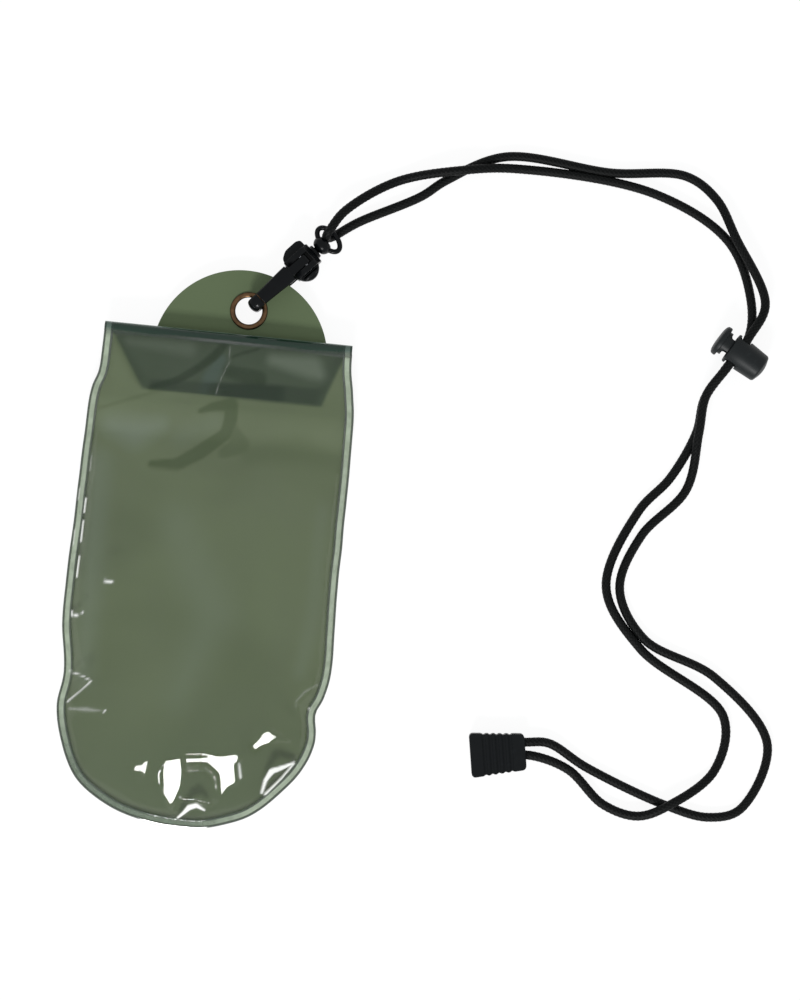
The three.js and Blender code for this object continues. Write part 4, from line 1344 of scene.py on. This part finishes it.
    def film(self, finish: bpy.types.Material) -> bpy.types.Object:
        """Makes the clear front."""
        x, y = self.body_grid(self.fold_start + self.film_reach)
        edge = self.edge_distance(x, y)
        near_fold = smoothstep(self.fold_start - self.fold_approach, self.fold_start, y)
        swell = 2 * self.fold_radius(x) + self.lip - self.body_height - self.film_rest
        rest = self.film_rest - self.gap * (1 - smoothstep(2.5, 6.0, edge)) * (1 - near_fold)
        z = self.sheet_height(y) + rest + lerp(self.fill(x, y, edge), swell, near_fold)
        z += self.wrinkles(x, y, edge) * (1 - near_fold)
        for facet in self.facets:
            z = facet.press(x, y, z)
        beads = 0.30 * bell(edge, 3.3, 0.42) + 0.16 * bell(edge, 0.5, 0.35)
        z += beads * (1 - 0.5 * near_fold)
        fold = self.film_fold(self.across())
        xs, ys, zs = (np.vstack([first, np.array(rest_rows)]) for first, rest_rows in zip((x, y, z), fold))
        points = np.stack([xs.ravel(), ys.ravel(), zs.ravel()], axis=1)
        piece = new_piece("clear_front_film", points, grid_faces(*xs.shape))
        count = len(fold[0])
        side = np.minimum(xs[-count:] - xs[-count:, :1], xs[-count:, -1:] - xs[-count:])
        start = self.fold_line + 0.7 * (1 - np.abs(xs) / self.top_half)
        row = np.arange(len(xs))[:, None]
        front, turned = row < len(x), row < len(x) + self.fold_rows_round
        values = {
            "edge_mm": np.vstack([edge, side]),
            "fold": smoothstep(-0.3, 0.3, ys - start) * turned,
            "fold_line": bell(ys - start, -0.3, 0.55) * turned,
            "weld_low": (1 - smoothstep(-75.0, -45.0, ys)) * (1 - smoothstep(0.0, 30.0, xs)),
            "fold_rim": smoothstep(self.top_fold - 0.6, self.top_fold - 0.25, ys) * turned,
            "glint": marks(self.glints, xs, ys) * front,
        }
        for name, value in values.items():
            set_values(piece, name, value)
        thicken(piece, self.film_thickness)
        return dress(piece, finish, Body.POUCH, "front_film")

    def flap_sides(self, y: float) -> tuple[float, float]:
        """Left and right edge of the flap at a height Y."""
        share = float(np.clip((self.top_fold - y) / (self.top_fold - self.lower_crease), 0, 1))
        half = self.top_half - 1
        return lerp(-half, self.flap_left, share), lerp(half, self.flap_right, share)

    def tongue_sides(self, y: float) -> tuple[float, float]:
        """Left and right edge of the tongue and the round tab at a height Y."""
        away = max(y - self.tab_centre[1], 0.0)
        half = math.sqrt(max(self.tab_radius ** 2 - away ** 2, 0.0))
        return self.tab_centre[0] - half, self.tab_centre[0] + half

    def fold_rows(self, share: np.ndarray) -> list[tuple[np.ndarray, float, float]]:
        """Rows of the sheet after the body: top fold, flap, lower crease, tongue and tab."""
        rows = []

        def add(sides: tuple[float, float], y: float, z: float) -> None:
            """Adds one row across."""
            rows.append((lerp(sides[0], sides[1], share), y, z))

        radius, fold_y = self.sheet_radius, self.sheet_fold
        left, right = self.stations()
        for step, angle in enumerate(np.linspace(math.pi / 2, -math.pi / 2, self.turn_rows)):
            inset = step / (self.turn_rows - 1)
            add((left[-1, 0] + inset, right[-1, 0] - inset), fold_y + radius * math.cos(angle),
                self.flap_height + radius * (1 + math.sin(angle)) + self.lift(fold_y))
        for y in np.linspace(fold_y - 0.8, self.lower_crease + 0.8, self.flap_rows):
            add(self.flap_sides(y), y, self.flap_height + self.lift(y))
        middle = self.sheet_thickness / 2
        crease = (self.flap_height - middle) / 2
        for angle in np.linspace(0.5 * math.pi, 1.5 * math.pi, self.crease_rows):
            y = self.lower_crease + crease + crease * math.cos(angle)
            add(self.flap_sides(self.lower_crease), y, middle + crease * (1 + math.sin(angle)) + self.lift(y))
        for y in np.linspace(self.lower_crease + 1.6, self.tab_centre[1], self.tongue_rows):
            add(self.tongue_sides(y), y, middle + self.lift(y))
        for angle in np.linspace(0.0, self.tab_sweep, self.tab_rows)[1:] * math.pi:
            y = self.tab_centre[1] + self.tab_radius * math.sin(angle)
            add(self.tongue_sides(y), y, middle + self.lift(y))
        return rows

    def sheet(self, finish: bpy.types.Material) -> bpy.types.Object:
        """Makes the green sheet with its flap and tab."""
        share = self.across()
        x, y = self.body_grid(self.sheet_fold - self.gap)
        kept = (y.max(axis=1) > self.sheet_thinning) | (np.arange(len(y)) % 3 == 0)
        x, y = x[kept], y[kept]
        z = self.sheet_height(y) + np.zeros_like(x)
        body_count = len(x)
        rows = self.fold_rows(share)
        x = np.vstack([x, np.array([row[0] for row in rows])])
        y = np.vstack([y, np.array([np.full_like(share, row[1]) for row in rows])])
        z = np.vstack([z, np.array([np.full_like(share, row[2]) for row in rows])])
        piece = new_piece("green_back_sheet", np.stack([x.ravel(), y.ravel(), z.ravel()], axis=1),
                          grid_faces(*x.shape))
        on_body = np.zeros_like(x)
        on_body[:body_count] = 1
        for name, value in self.tones(x, y, on_body).items():
            set_values(piece, name, value)
        self.punch(piece)
        thicken(piece, self.sheet_thickness)
        return dress(piece, finish, Body.POUCH, "back_sheet")

    def tones(self, x: np.ndarray, y: np.ndarray, on_body: np.ndarray) -> dict[str, np.ndarray]:
        """How much each tone of the sheet's finish covers each point.

        Args:
            x: the points' places across the pouch.
            y: the points' places towards the tab.
            on_body: 1 on the body and 0 on the flap and the tab.

        Returns:
            One mask for each tone, by the name of its attribute.
        """
        low, high = (np.array([self.flap_sides(row[0])[side] for row in y])[:, None] for side in (0, 1))
        inside = smoothstep(-0.8, 0.8, x - low) * smoothstep(-0.8, 0.8, high - x)
        flap = inside * smoothstep(self.lower_crease - 0.6, self.lower_crease + 0.6, y)
        ends = smoothstep(-30.0, -25.0, x) * (1 - smoothstep(33.0, 37.5, x))
        top = lerp(71.8, 74.2, smoothstep(-25.0, 25.0, x))
        band = flap * (1 - smoothstep(-0.9, 0.9, y - top)) * ends
        band *= lerp(0.55, 1.0, smoothstep(-12.0, 2.0, x)) * lerp(1.0, 0.6, smoothstep(20.0, 24.0, x))
        return {
            "flap_shade": flap * on_body * 0.95,
            "band_shade": band * on_body * 0.9,
            "fold_shade": smoothstep(86.8, 88.0, y) * on_body,
            "cling": marks(self.cling, x, y) * on_body,
            # Painted sheen.
            "painted_sheen": marks(self.painted_sheen, x, y) * on_body,
            "pale": marks(self.pale, x, y) * on_body,
            "blue": marks(self.blue, x, y) * on_body,
            "low": (1 - smoothstep(-75.0, -35.0, y)) * on_body * 0.8,
            "is_tab": 1 - on_body,
            # Painted light on the flap and the lower tab, against the fold's shadow.
            "tab_painted_light": (1 - on_body) * (1 - smoothstep(91.0, 99.0, y)),
        }

    def punch(self, piece: bpy.types.Object) -> None:
        """Cuts the eyelet's round hole through the tab."""
        work = bmesh.new()
        work.from_mesh(piece.data)
        centre = Vector((self.eyelet[0] * MM, self.eyelet[1] * MM))
        reach = self.eyelet_hole * MM
        gone = [v for v in work.verts if (v.co.xy - centre).length < reach]
        bmesh.ops.delete(work, geom=gone, context="VERTS")
        for vertex in work.verts:
            away = vertex.co.xy - centre
            if vertex.is_boundary and away.length < reach + 1.5 * MM:
                vertex.co.xy = centre + away.normalized() * reach
        work.to_mesh(piece.data)
        work.free()

    def strip(self, name: str, height: float, node: str, finish: bpy.types.Material) -> bpy.types.Object:
        """Makes one closure strip under the folded flap.

        Args:
            name: the piece's name.
            height: its middle surface where the layers lie flat.
            node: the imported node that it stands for.
            finish: its material.

        Returns:
            The strip.
        """
        share = np.linspace(0, 1, 180)
        rows = np.linspace(0, 1, 18)
        y0 = self.lower_crease + 2
        x = lerp(self.flap_left + self.strip_margin, self.flap_right - self.strip_margin, share)
        xs, ts = np.meshgrid(x, rows)
        ys = y0 + self.strip_width * ts
        fuzz = np.array([0.12 * noise.noise((a * 2.1, b * 2.1, height))
                         for a, b in zip(xs.ravel(), ys.ravel())])
        zs = height + self.lift(ys) + fuzz.reshape(xs.shape)
        points = np.stack([xs.ravel(), ys.ravel(), zs.ravel()], axis=1)
        piece = new_piece(name, points, grid_faces(*xs.shape))
        thicken(piece, self.strip_thickness - 0.2)
        return dress(piece, finish, Body.POUCH, node)

    def build(self, sheet: bpy.types.Material, film: bpy.types.Material, tape: bpy.types.Material) -> None:
        back = self.sheet(sheet)
        front = self.film(film)
        lower = self.flap_height + self.sheet_thickness / 2 + self.gap / 2 + self.strip_thickness / 2
        upper = lower + self.strip_thickness + self.gap
        self.strip("hook_tape", lower, "hook_strip", tape)
        self.strip("loop_tape", upper, "loop_strip", tape)


@dataclass
class Eyelet:
    """Brass eyelet: a rolled flange above the tab, a tube through it and a washer below."""

    centre: tuple[float, float] = EYELET_CENTRE
    bore: float = 4.9
    wall: float = 0.4
    flange: float = 6.9
    flange_base: float = 4.85
    flange_height: float = 0.7
    clinch: float = 6.0
    clinch_base: float = 3.2
    clinch_height: float = 0.3
    washer_height: float = 0.4

    def build(self, finish: bpy.types.Material) -> None:
        """Makes the eyelet and its washer."""
        place = Matrix.Translation((*self.centre, 0))
        outer = self.bore + self.wall
        middle = (self.flange + self.bore) / 2
        half = (self.flange - self.bore) / 2
        rim = [(self.flange_base + self.flange_height * math.sin(a), middle + half * math.cos(a))
               for a in np.linspace(0, math.pi, 25)]
        foot = self.clinch_base + self.clinch_height
        profile = [(self.clinch_base, self.bore + 0.1), (self.clinch_base, self.clinch - 0.15),
                   (self.clinch_base + 0.12, self.clinch), (foot, self.clinch - 0.05), (foot, outer),
                   (self.flange_base, outer), *rim, (self.clinch_base, self.bore + 0.1)]
        barrel = Moulding.turned(profile, 128, upright=True).place("eyelet_flange_and_tube", place, 50)
        height = np.array([v.co.z / MM for v in barrel.data.vertices])
        # The top of the rolled rim carries a painted highlight.
        set_values(barrel, "bright_brass_and_highlight", smoothstep(self.flange_base + 0.3, self.flange_base + 0.68, height))
        dress(barrel, finish, Body.POUCH, "eyelet_barrel")
        low = foot + 0.15
        high = low + self.washer_height
        ring = [(low, outer + 0.3), (low, self.flange - 0.1), (low + 0.1, self.flange),
                (high - 0.1, self.flange), (high, self.flange - 0.1), (high, outer + 0.3), (low, outer + 0.3)]
        washer = Moulding.turned(ring, 128, upright=True).place("eyelet_back_washer", place, 50)
        set_values(washer, "bright_brass_and_highlight", np.zeros(len(washer.data.vertices)))
        dress(washer, finish, Body.POUCH, "eyelet_washer")


# Snap hook


@dataclass
class SnapHook:
    """Moulded snap hook, along its own axis from the eyelet's middle, with its gate, pin, spring and swivel."""

    centre: tuple[float, float] = EYELET_CENTRE
    angle: float = 47.6
    base: float = 0.2
    width: float = 5.2
    wide: float = 6.5
    spine: float = 2.7
    bend_start: float = 1.2
    bend_thickness: float = 2.4
    bend_radius: float = 3.3
    nose_end: float = 6.0
    jaw_top: float = 10.4
    gate_height: float = 2.6
    shoulder_start: float = 21.0
    shoulder_end: float = 32.0
    shoulder_width: float = 8.4
    lug_width: float = 14.6
    lug_base: float = 4.4
    lug_top: float = 9.4
    pin_x: float = 27.0
    pin_z: float = 10.2
    pin_radius: float = 0.75
    pin_play: float = 0.2
    well_radius: float = 1.65
    spring_offset: float = 1.6
    knuckle_radius: float = 2.0
    knuckle_width: float = 3.4
    gap: float = 0.3
    swivel_z: float = 4.6
    stem: float = 1.3
    head: float = 2.2
    head_length: float = 2.0
    collar: float = 3.5
    collar_length: float = 3.1
    ball_overlap: float = 1.7
    boss: float = 2.7
    boss_length: float = 1.2
    ring_half_width: float = 5.3
    ring_half_length: float = 2.9
    ring_wire: float = 0.95

    @property
    def place(self) -> Matrix:
        """The hook's frame."""
        return standing((*self.centre, 0), self.angle)

    def on_pin(self, moulding: Moulding) -> Moulding:
        """Turns a moulding made about X onto the gate's hinge pin."""
        return moulding.turn(90, "Z").move(x=self.pin_x, z=self.pin_z)

    def bar_section(self, width: float, thickness: float) -> np.ndarray:
        """Section of the moulded bar: rounded sides and a low ridge along its outer face."""
        corners = [(-width / 2, -thickness / 2), (width / 2, -thickness / 2), (width / 2, thickness * 0.2),
                   (width * 0.16, thickness / 2), (-width * 0.16, thickness / 2), (-width / 2, thickness * 0.2)]
        return np.array(rounded(corners, 0.95, 6))

    def bar(self) -> Moulding:
        """The spine, the bend and the nose as one bar."""
        low = self.base + self.spine / 2
        high = self.jaw_top + self.gate_height / 2
        back = self.bend_start + self.bend_thickness / 2
        turn = self.bend_radius - self.bend_thickness / 2 + 0.3
        path = [(u, low) for u in np.linspace(self.shoulder_end - 1, back + turn, 30)]
        path += [(back + turn - turn * math.sin(a), low + turn - turn * math.cos(a))
                 for a in np.linspace(0, math.pi / 2, 12)[1:]]
        path += [(back + turn - turn * math.cos(a), high - turn + turn * math.sin(a))
                 for a in np.linspace(0, math.pi / 2, 12)]
        path.append((self.nose_end, high))
        points = np.array([(u, 0.0, z) for u, z in path])
        return Moulding.swept(points, self.tapered(points[:, 0], self.spine), Vector((0, 1, 0)))

    def tapered(self, along: np.ndarray, thickness: float) -> np.ndarray:
        """The bar's sections, wider towards the shoulder."""
        widths = lerp(self.width, self.wide, smoothstep(self.nose_end, self.shoulder_start, along))
        return np.stack([self.bar_section(width, thickness) for width in widths])

    def lugs(self) -> list[Moulding]:
        """The squared lug on the left and the arched thumb tongue on the right."""
        start, end = self.shoulder_start, self.shoulder_end
        inner, outer = self.shoulder_width / 2 - 0.8, self.lug_width / 2
        squared = rounded([(start + 0.2, inner), (end - 0.8, inner), (end - 0.8, outer - 0.8),
                           (end - 2.4, outer), (start + 3.4, outer), (start + 0.6, outer - 1.8)], 1.1)
        arc = [(start + 0.2 + 10.6 * t, -inner - (outer - inner) * math.sin(math.pi * min(t * 1.12, 1.0)) ** 0.55)
               for t in np.linspace(0.02, 0.9, 22)]
        arched = [(start + 0.2, -inner), *arc, (end - 0.8, -inner)]
        ridge = [(u, 0.0, self.lug_top - 1.3 + 1.0 * math.sin(math.pi * t)) for u, t in
                 zip(np.linspace(start + 1.8, end - 3.0, 16), np.linspace(0, 1, 16))]
        ridge_points = np.array(ridge) + np.array([0.0, -outer + 1.7, 0.0])
        section = np.array(rounded([(-0.55, -0.5), (0.55, -0.5), (0.55, 0.4), (-0.55, 0.4)], 0.3, 3))
        return [
            Moulding.prism(squared, self.lug_base, self.lug_top),
            Moulding.prism(arched, self.lug_base, self.lug_top - 1.1),
            Moulding.swept(ridge_points, section, Vector((0, 1, 0))),
        ]

    def body(self, finish: bpy.types.Material) -> None:
        """Makes the hook's body."""
        cheek = self.pin_z + 1.6
        shoulder = Moulding.prism(rounded([
            (self.shoulder_start, self.base), (self.shoulder_end, self.base),
            (self.shoulder_end, self.pin_z - 2), (self.pin_x + 3.2, cheek - 0.8), (self.pin_x + 2, cheek),
            (self.pin_x - 2, cheek), (self.shoulder_start + 0.6, self.lug_top + 0.3),
            (self.shoulder_start, self.lug_top - 0.5),
        ], 0.9), -self.shoulder_width / 2, self.shoulder_width / 2, side=True)
        boss = Moulding.turned([
            (self.shoulder_end - 1, 0.0), (self.shoulder_end - 1, self.boss),
            (self.shoulder_end + self.boss_length - 0.3, self.boss),
            (self.shoulder_end + self.boss_length, self.boss - 0.3), (self.shoulder_end + self.boss_length, 0.0),
        ], 48).move(z=self.swivel_z)
        whole = self.bar().join(shoulder, boss, *self.lugs()).soften(0.2, 6)
        half = self.knuckle_width / 2 + self.gap
        floor = self.pin_z - self.knuckle_radius - self.gap
        top = self.jaw_top + self.gate_height + 1
        slot = Moulding.block((self.shoulder_start - 1, self.pin_x + self.knuckle_radius + 1), (-half, half),
                              (floor, top))
        well = Moulding.cylinder(self.base + self.spine + 0.5, top, self.well_radius, upright=True)
        well.move(x=self.shoulder_start + self.spring_offset)
        pin = self.on_pin(Moulding.cylinder(-8, 8, self.pin_radius + self.pin_play))
        head_start = self.shoulder_end - 4
        stem = Moulding.cylinder(head_start, self.shoulder_end + 3, self.stem + self.gap)
        stem.move(z=self.swivel_z)
        wide = self.head + self.gap
        recess = Moulding.block((head_start - self.gap, head_start + self.head_length + self.gap),
                                (-wide, wide), (self.base - 1, self.swivel_z + wide))
        whole.cut(slot, well, pin, stem, recess)
        piece = whole.place("snap_hook_body", self.place, 40)
        dress(piece, finish, Body.HOOK, "hook_body")

    def gate(self, finish: bpy.types.Material) -> None:
        """Makes the sprung gate with its knuckle."""
        start = self.nose_end + self.gap
        narrow = self.shoulder_start - 0.6
        middle = self.jaw_top + self.gate_height / 2
        path = np.array([(u, 0.0, middle) for u in np.linspace(narrow, start, 24)])
        bar = Moulding.swept(path, self.tapered(path[:, 0], self.gate_height), Vector((0, -1, 0)))
        tail = Moulding.prism(rounded([
            (narrow - 1.5, self.jaw_top), (self.pin_x, self.jaw_top),
            (self.pin_x, self.pin_z + self.knuckle_radius), (narrow - 1.5, self.jaw_top + self.gate_height - 0.2),
        ], 0.3), -self.knuckle_width / 2, self.knuckle_width / 2, side=True)
        half = self.knuckle_width / 2
        knuckle = self.on_pin(Moulding.cylinder(-half, half, self.knuckle_radius, 48))
        whole = bar.join(tail, knuckle).soften(0.18, 2)
        whole.cut(self.on_pin(Moulding.cylinder(-4, 4, self.pin_radius + self.pin_play)))
        dress(whole.place("snap_hook_gate", self.place, 40), finish, Body.GATE, "hook_gate")

    def pin(self, finish: bpy.types.Material) -> None:
        """Makes the gate's steel pin."""
        half = self.shoulder_width / 2
        pin = self.on_pin(Moulding.turned([
            (-half, 0.0), (-half, self.pin_radius - 0.15), (-half + 0.15, self.pin_radius),
            (half - 0.15, self.pin_radius), (half, self.pin_radius - 0.15), (half, 0.0),
        ], 48))
        dress(pin.place("gate_hinge_pin", self.place, 40), finish, Body.HOOK, "gate_pin")

    def spring(self, finish: bpy.types.Material) -> None:
        """Makes the gate's coil spring."""
        base = self.base + self.spine + 0.5 + self.gap
        coil = coil_mesh(1.1, 0.25, self.jaw_top - self.gap - base, 6)
        coil.move(x=self.shoulder_start + self.spring_offset, z=base)
        piece = coil.place("gate_coil_spring", self.place)
        dress(piece, finish, Body.HOOK, "gate_spring")
        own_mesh(piece)

    def ring(self, finish: bpy.types.Material) -> None:
        """Makes the swivel: head, stem, collar and oval ring."""
        head_start = self.shoulder_end - 4
        collar_start = self.shoulder_end + self.boss_length + self.gap
        collar_end = collar_start + self.collar_length
        ball = self.collar_length + self.ball_overlap
        bulge = [(collar_start + ball * t, self.collar * (0.5 + 0.5 * math.sin(math.pi * t) ** 0.6))
                 for t in np.linspace(0, 1, 25)]
        shaft = Moulding.turned([
            (head_start, 0.0), (head_start, self.head), (head_start + self.head_length, self.head),
            (head_start + self.head_length, self.stem), (collar_start, self.stem), *bulge, (collar_start + ball, 0.0),
        ], 64).move(z=self.swivel_z)
        turns, sides = 96, 24
        rows = []
        for turn in np.linspace(0, 2 * math.pi, turns, endpoint=False):
            outward = np.array([self.ring_half_width * math.cos(turn), self.ring_half_length * math.sin(turn)])
            outward /= np.linalg.norm(outward)
            for around in np.linspace(0, 2 * math.pi, sides, endpoint=False):
                reach = self.ring_wire * math.cos(around)
                rows.append((self.ring_half_length * math.cos(turn) + outward[0] * reach,
                             self.ring_half_width * math.sin(turn) + outward[1] * reach,
                             self.ring_wire * math.sin(around)))
        faces = grid_faces(turns + 1, sides, True) % (turns * sides)
        oval = Moulding(np.array(rows), faces.tolist())
        oval.move(x=collar_end - 0.4 + self.ring_half_length, z=self.swivel_z)
        piece = shaft.join(oval).soften(0.16, 3).place("swivel_eye_and_collar", self.place)
        dress(piece, finish, Body.LANYARD, "swivel_ring")

    def build(self, plastic: bpy.types.Material, steel: bpy.types.Material) -> None:
        """Makes every piece of the hook."""
        self.body(plastic)
        self.gate(plastic)
        self.pin(steel)
        self.spring(steel)
        self.ring(plastic)


def coil_mesh(radius: float, wire: float, length: float, turns: int) -> Moulding:
    """A coil of round wire that winds about Z.

    Args:
        radius: from the axis to the wire's middle.
        wire: the wire's radius.
        length: overall height.
        turns: number of turns.

    Returns:
        The coil as a moulding.
    """
    steps, sides = turns * 40, 12
    rows = []
    for i in range(steps + 1):
        angle = 2 * math.pi * turns * i / steps
        out = np.array([math.cos(angle), math.sin(angle), 0.0])
        middle = out * radius + np.array([0.0, 0.0, wire + (length - 2 * wire) * i / steps])
        for j in range(sides):
            around = 2 * math.pi * j / sides
            rows.append(middle + out * wire * math.cos(around) + np.array([0, 0, wire * math.sin(around)]))
    faces = grid_faces(steps + 1, sides, True).tolist()
    faces += [list(range(sides)), list(range(steps * sides, (steps + 1) * sides))]
    return Moulding(np.array(rows), faces)


# Cord lock


@dataclass
class CordLock:
    """Barrel and push button that clamp the two strands of the cord."""

    origin: tuple[float, float, float] = (185.6, 102.9, 6.0)
    angle: float = -30.5
    radius: float = 5.9
    end_radius: float = 5.4
    wall: float = 1.1
    floor: float = 1.4
    gap: float = 0.3
    slot_half: float = 2.15
    mouth_wall: float = 1.05
    travel: float = 3.0
    web: float = 1.3
    recess: float = 3.05
    spare: float = 0.5
    button: float = 2.6
    strand_half: float = 3.7
    spring_radius: float = 1.9
    spring_wire: float = 0.3

    @property
    def place(self) -> Matrix:
        """The lock's frame."""
        return standing(self.origin, self.angle)

    @property
    def recess_floor(self) -> float:
        """Bottom of the plunger's spring recess."""
        return self.slot_half + self.web

    @property
    def plunger_end(self) -> float:
        """Inner end of the plunger."""
        return self.recess_floor + self.recess

    @property
    def barrel_end(self) -> float:
        """Closed end of the barrel."""
        return self.plunger_end + self.travel + self.spare + self.floor

    def slot(self, low: float, high: float) -> Moulding:
        """The cross hole for the strands, with round corners."""
        outline = rounded([(low, -self.strand_half), (high, -self.strand_half),
                           (high, self.strand_half), (low, self.strand_half)], 1.2)
        return Moulding.prism(outline, -9.0, 9.0, side=True)

    def barrel(self, finish: bpy.types.Material) -> None:
        """Makes the outer barrel."""
        mouth = -self.slot_half - self.mouth_wall
        bore = self.radius - self.wall
        end = self.barrel_end
        flat = self.end_radius - 1.2
        corner = [(end - 2.1 + 1.2 * math.sin(a), flat + 1.2 * math.cos(a)) for a in np.linspace(0, 1.2, 8)]
        corner += [(end - 0.9 * share ** 2, flat * share) for share in np.linspace(0.9, 0.1, 9)]
        shell = Moulding.turned([
            (mouth, bore), (mouth, self.radius - 0.45), (mouth + 0.15, self.radius - 0.15),
            (mouth + 0.45, self.radius), (mouth + 6.0, self.radius - 0.1), *corner, (end, 0.0),
            (end - self.floor, 0.0), (end - self.floor, bore), (mouth, bore),
        ], 120)
        shell.cut(self.slot(-self.slot_half, self.slot_half))
        shell.bevel(0.22, 40)
        dress(shell.place("cord_lock_barrel", self.place, 35), finish, Body.LANYARD, "lock_barrel")

    def plunger(self, finish: bpy.types.Material) -> None:
        """Makes the push button and its clamping plunger."""
        inner = -self.slot_half - self.mouth_wall - self.travel - 0.2
        outer = inner - self.button
        bore = self.radius - self.wall - self.gap
        recess = self.spring_radius + self.spring_wire + self.gap
        dome = [(outer + 1.3 - 1.3 * math.cos(a), self.radius * 0.985 * math.sin(a) ** 0.55)
                for a in np.linspace(0.0, math.pi / 2, 14)]
        turned = Moulding.turned([
            *dome, (outer + 2.1, self.radius), (inner - 0.15, self.radius - 0.1), (inner, self.radius - 0.3),
            (inner, bore), (self.plunger_end, bore), (self.plunger_end, recess),
            (self.recess_floor, recess), (self.recess_floor, 0.0),
        ], 120)
        turned.cut(self.slot(-self.slot_half - self.travel, self.slot_half))
        turned.bevel(0.15, 40)
        dress(turned.place("cord_lock_button", self.place, 35), finish, Body.PLUNGER, "lock_plunger")

    def spring(self, finish: bpy.types.Material) -> None:
        """Makes the coil spring behind the plunger."""
        start = self.recess_floor + self.gap
        length = self.barrel_end - self.floor - self.gap - start
        coil = coil_mesh(self.spring_radius, self.spring_wire, length, 5).turn(90, "Y").move(x=start)
        piece = coil.place("cord_lock_spring", self.place)
        dress(piece, finish, Body.LANYARD, "lock_spring")
        axis = (math.cos(math.radians(self.angle)), math.sin(math.radians(self.angle)), 0.0)
        reach = (start + length) * MM
        anchor = tuple(self.origin[i] * MM + axis[i] * reach for i in range(3))
        (length - self.travel) / length
        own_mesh(piece)

    def build(self, plastic: bpy.types.Material, steel: bpy.types.Material) -> None:
        """Makes every piece of the lock."""
        self.barrel(plastic)
        self.plunger(plastic)
        self.spring(steel)


# Cord end


@dataclass
class CordEnd:
    """Ribbed two-part fitting on the cord's two ends."""

    origin: tuple[float, float, float] = (113.2, -51.9, 0.1)
    angle: float = 9.8
    length: float = 20.2
    wide_half: float = 8.2
    narrow_half: float = 6.6
    height: float = 6.6
    corner: float = 1.5
    rib_pitch: float = 2.4
    ribs: int = 5
    rib_depth: float = 0.45
    groove_radius: float = 1.0
    groove_lift: float = 0.6
    channel_offset: float = 0.92
    channel_spacing: float = 4.8
    channel_depth: float = 8.8
    channel_radius: float = 1.95
    gap: float = 0.3

    @property
    def place(self) -> Matrix:
        """The cord end's frame."""
        return standing(self.origin, self.angle)

    def outline(self) -> list[tuple[float, float]]:
        """Outline with round corners and ribs along both sides."""
        half = self.length / 2
        side = []
        for x in np.linspace(-half, half, 120):
            wide = lerp(self.wide_half, self.narrow_half, (x + half) / self.length)
            near = min(x + half, half - x)
            if near < self.corner:
                wide -= self.corner - math.sqrt(max(self.corner ** 2 - (self.corner - near) ** 2, 0.0))
            if abs(x) < self.rib_pitch * self.ribs / 2:
                wide -= self.rib_depth * (0.5 + 0.5 * math.cos(2 * math.pi * x / self.rib_pitch)) ** 1.5
            side.append((x, wide))
        return [(x, -wide) for x, wide in side] + side[::-1]

    def half_shell(self, name: str, node: str, low: float, high: float, finish: bpy.types.Material) -> None:
        """Makes one half of the fitting.

        Args:
            name: the piece's name.
            node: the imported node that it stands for.
            low: its underside.
            high: its top.
            finish: its material.
        """
        shell = Moulding.prism(self.outline(), low, high)
        groove_height = high + self.groove_lift if low > 1 else low - self.groove_lift
        tools = []
        for i in range(self.ribs):
            groove = Moulding.cylinder(-12, 12, self.groove_radius).turn(90, "Z")
            tools.append(groove.move(x=(i - (self.ribs - 1) / 2) * self.rib_pitch, z=groove_height))
        mouth = self.length / 2
        for side in (-0.5, 0.5):
            channel = Moulding.cylinder(mouth - self.channel_depth, mouth + 2, self.channel_radius, 40)
            tools.append(channel.move(y=self.channel_offset + side * self.channel_spacing, z=self.height / 2))
        shell.cut(*tools).soften(0.2, 3)
        piece = shell.place(name, self.place)
        dress(piece, finish, Body.LANYARD, node)

    def build(self, finish: bpy.types.Material) -> None:
        """Makes both halves."""
        middle = self.height / 2
        self.half_shell("ribbed_end_base", "cord_end_base", 0.0, middle - 0.05, finish)
        self.half_shell("ribbed_end_cover", "cord_end_cover", middle + 0.05, self.height, finish)


def main() -> None:
    """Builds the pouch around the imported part."""
    logging.basicConfig(level=logging.INFO, format="%(name)s: %(message)s")
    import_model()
    Studio().build()
    neck_cord = NeckCord()
    cord, centre_line = neck_cord.build(BlackBraid().make())
    sheet, film, tape = GreenSheet().make(), ClearFilm().make(), ClosureFabric().make()
    plastic = BlackPlastic("black_plastic").make()
    satin = BlackPlastic("satin_black_plastic", linear(17, 22, 23), linear(34, 40, 41), 0.46, 0.05, 0.28).make()
    ribbed = BlackPlastic("ribbed_black_plastic", linear(11, 14, 16), linear(24, 28, 30), 0.42, 0.05, 0.14).make()
    steel = SpringSteel().make()
    Pouch().build(sheet, film, tape)
    Eyelet().build(AntiqueBrass().make())
    SnapHook().build(plastic, steel)
    CordLock().build(satin, steel)
    CordEnd().build(ribbed)


if __name__ == "__main__":
    main()
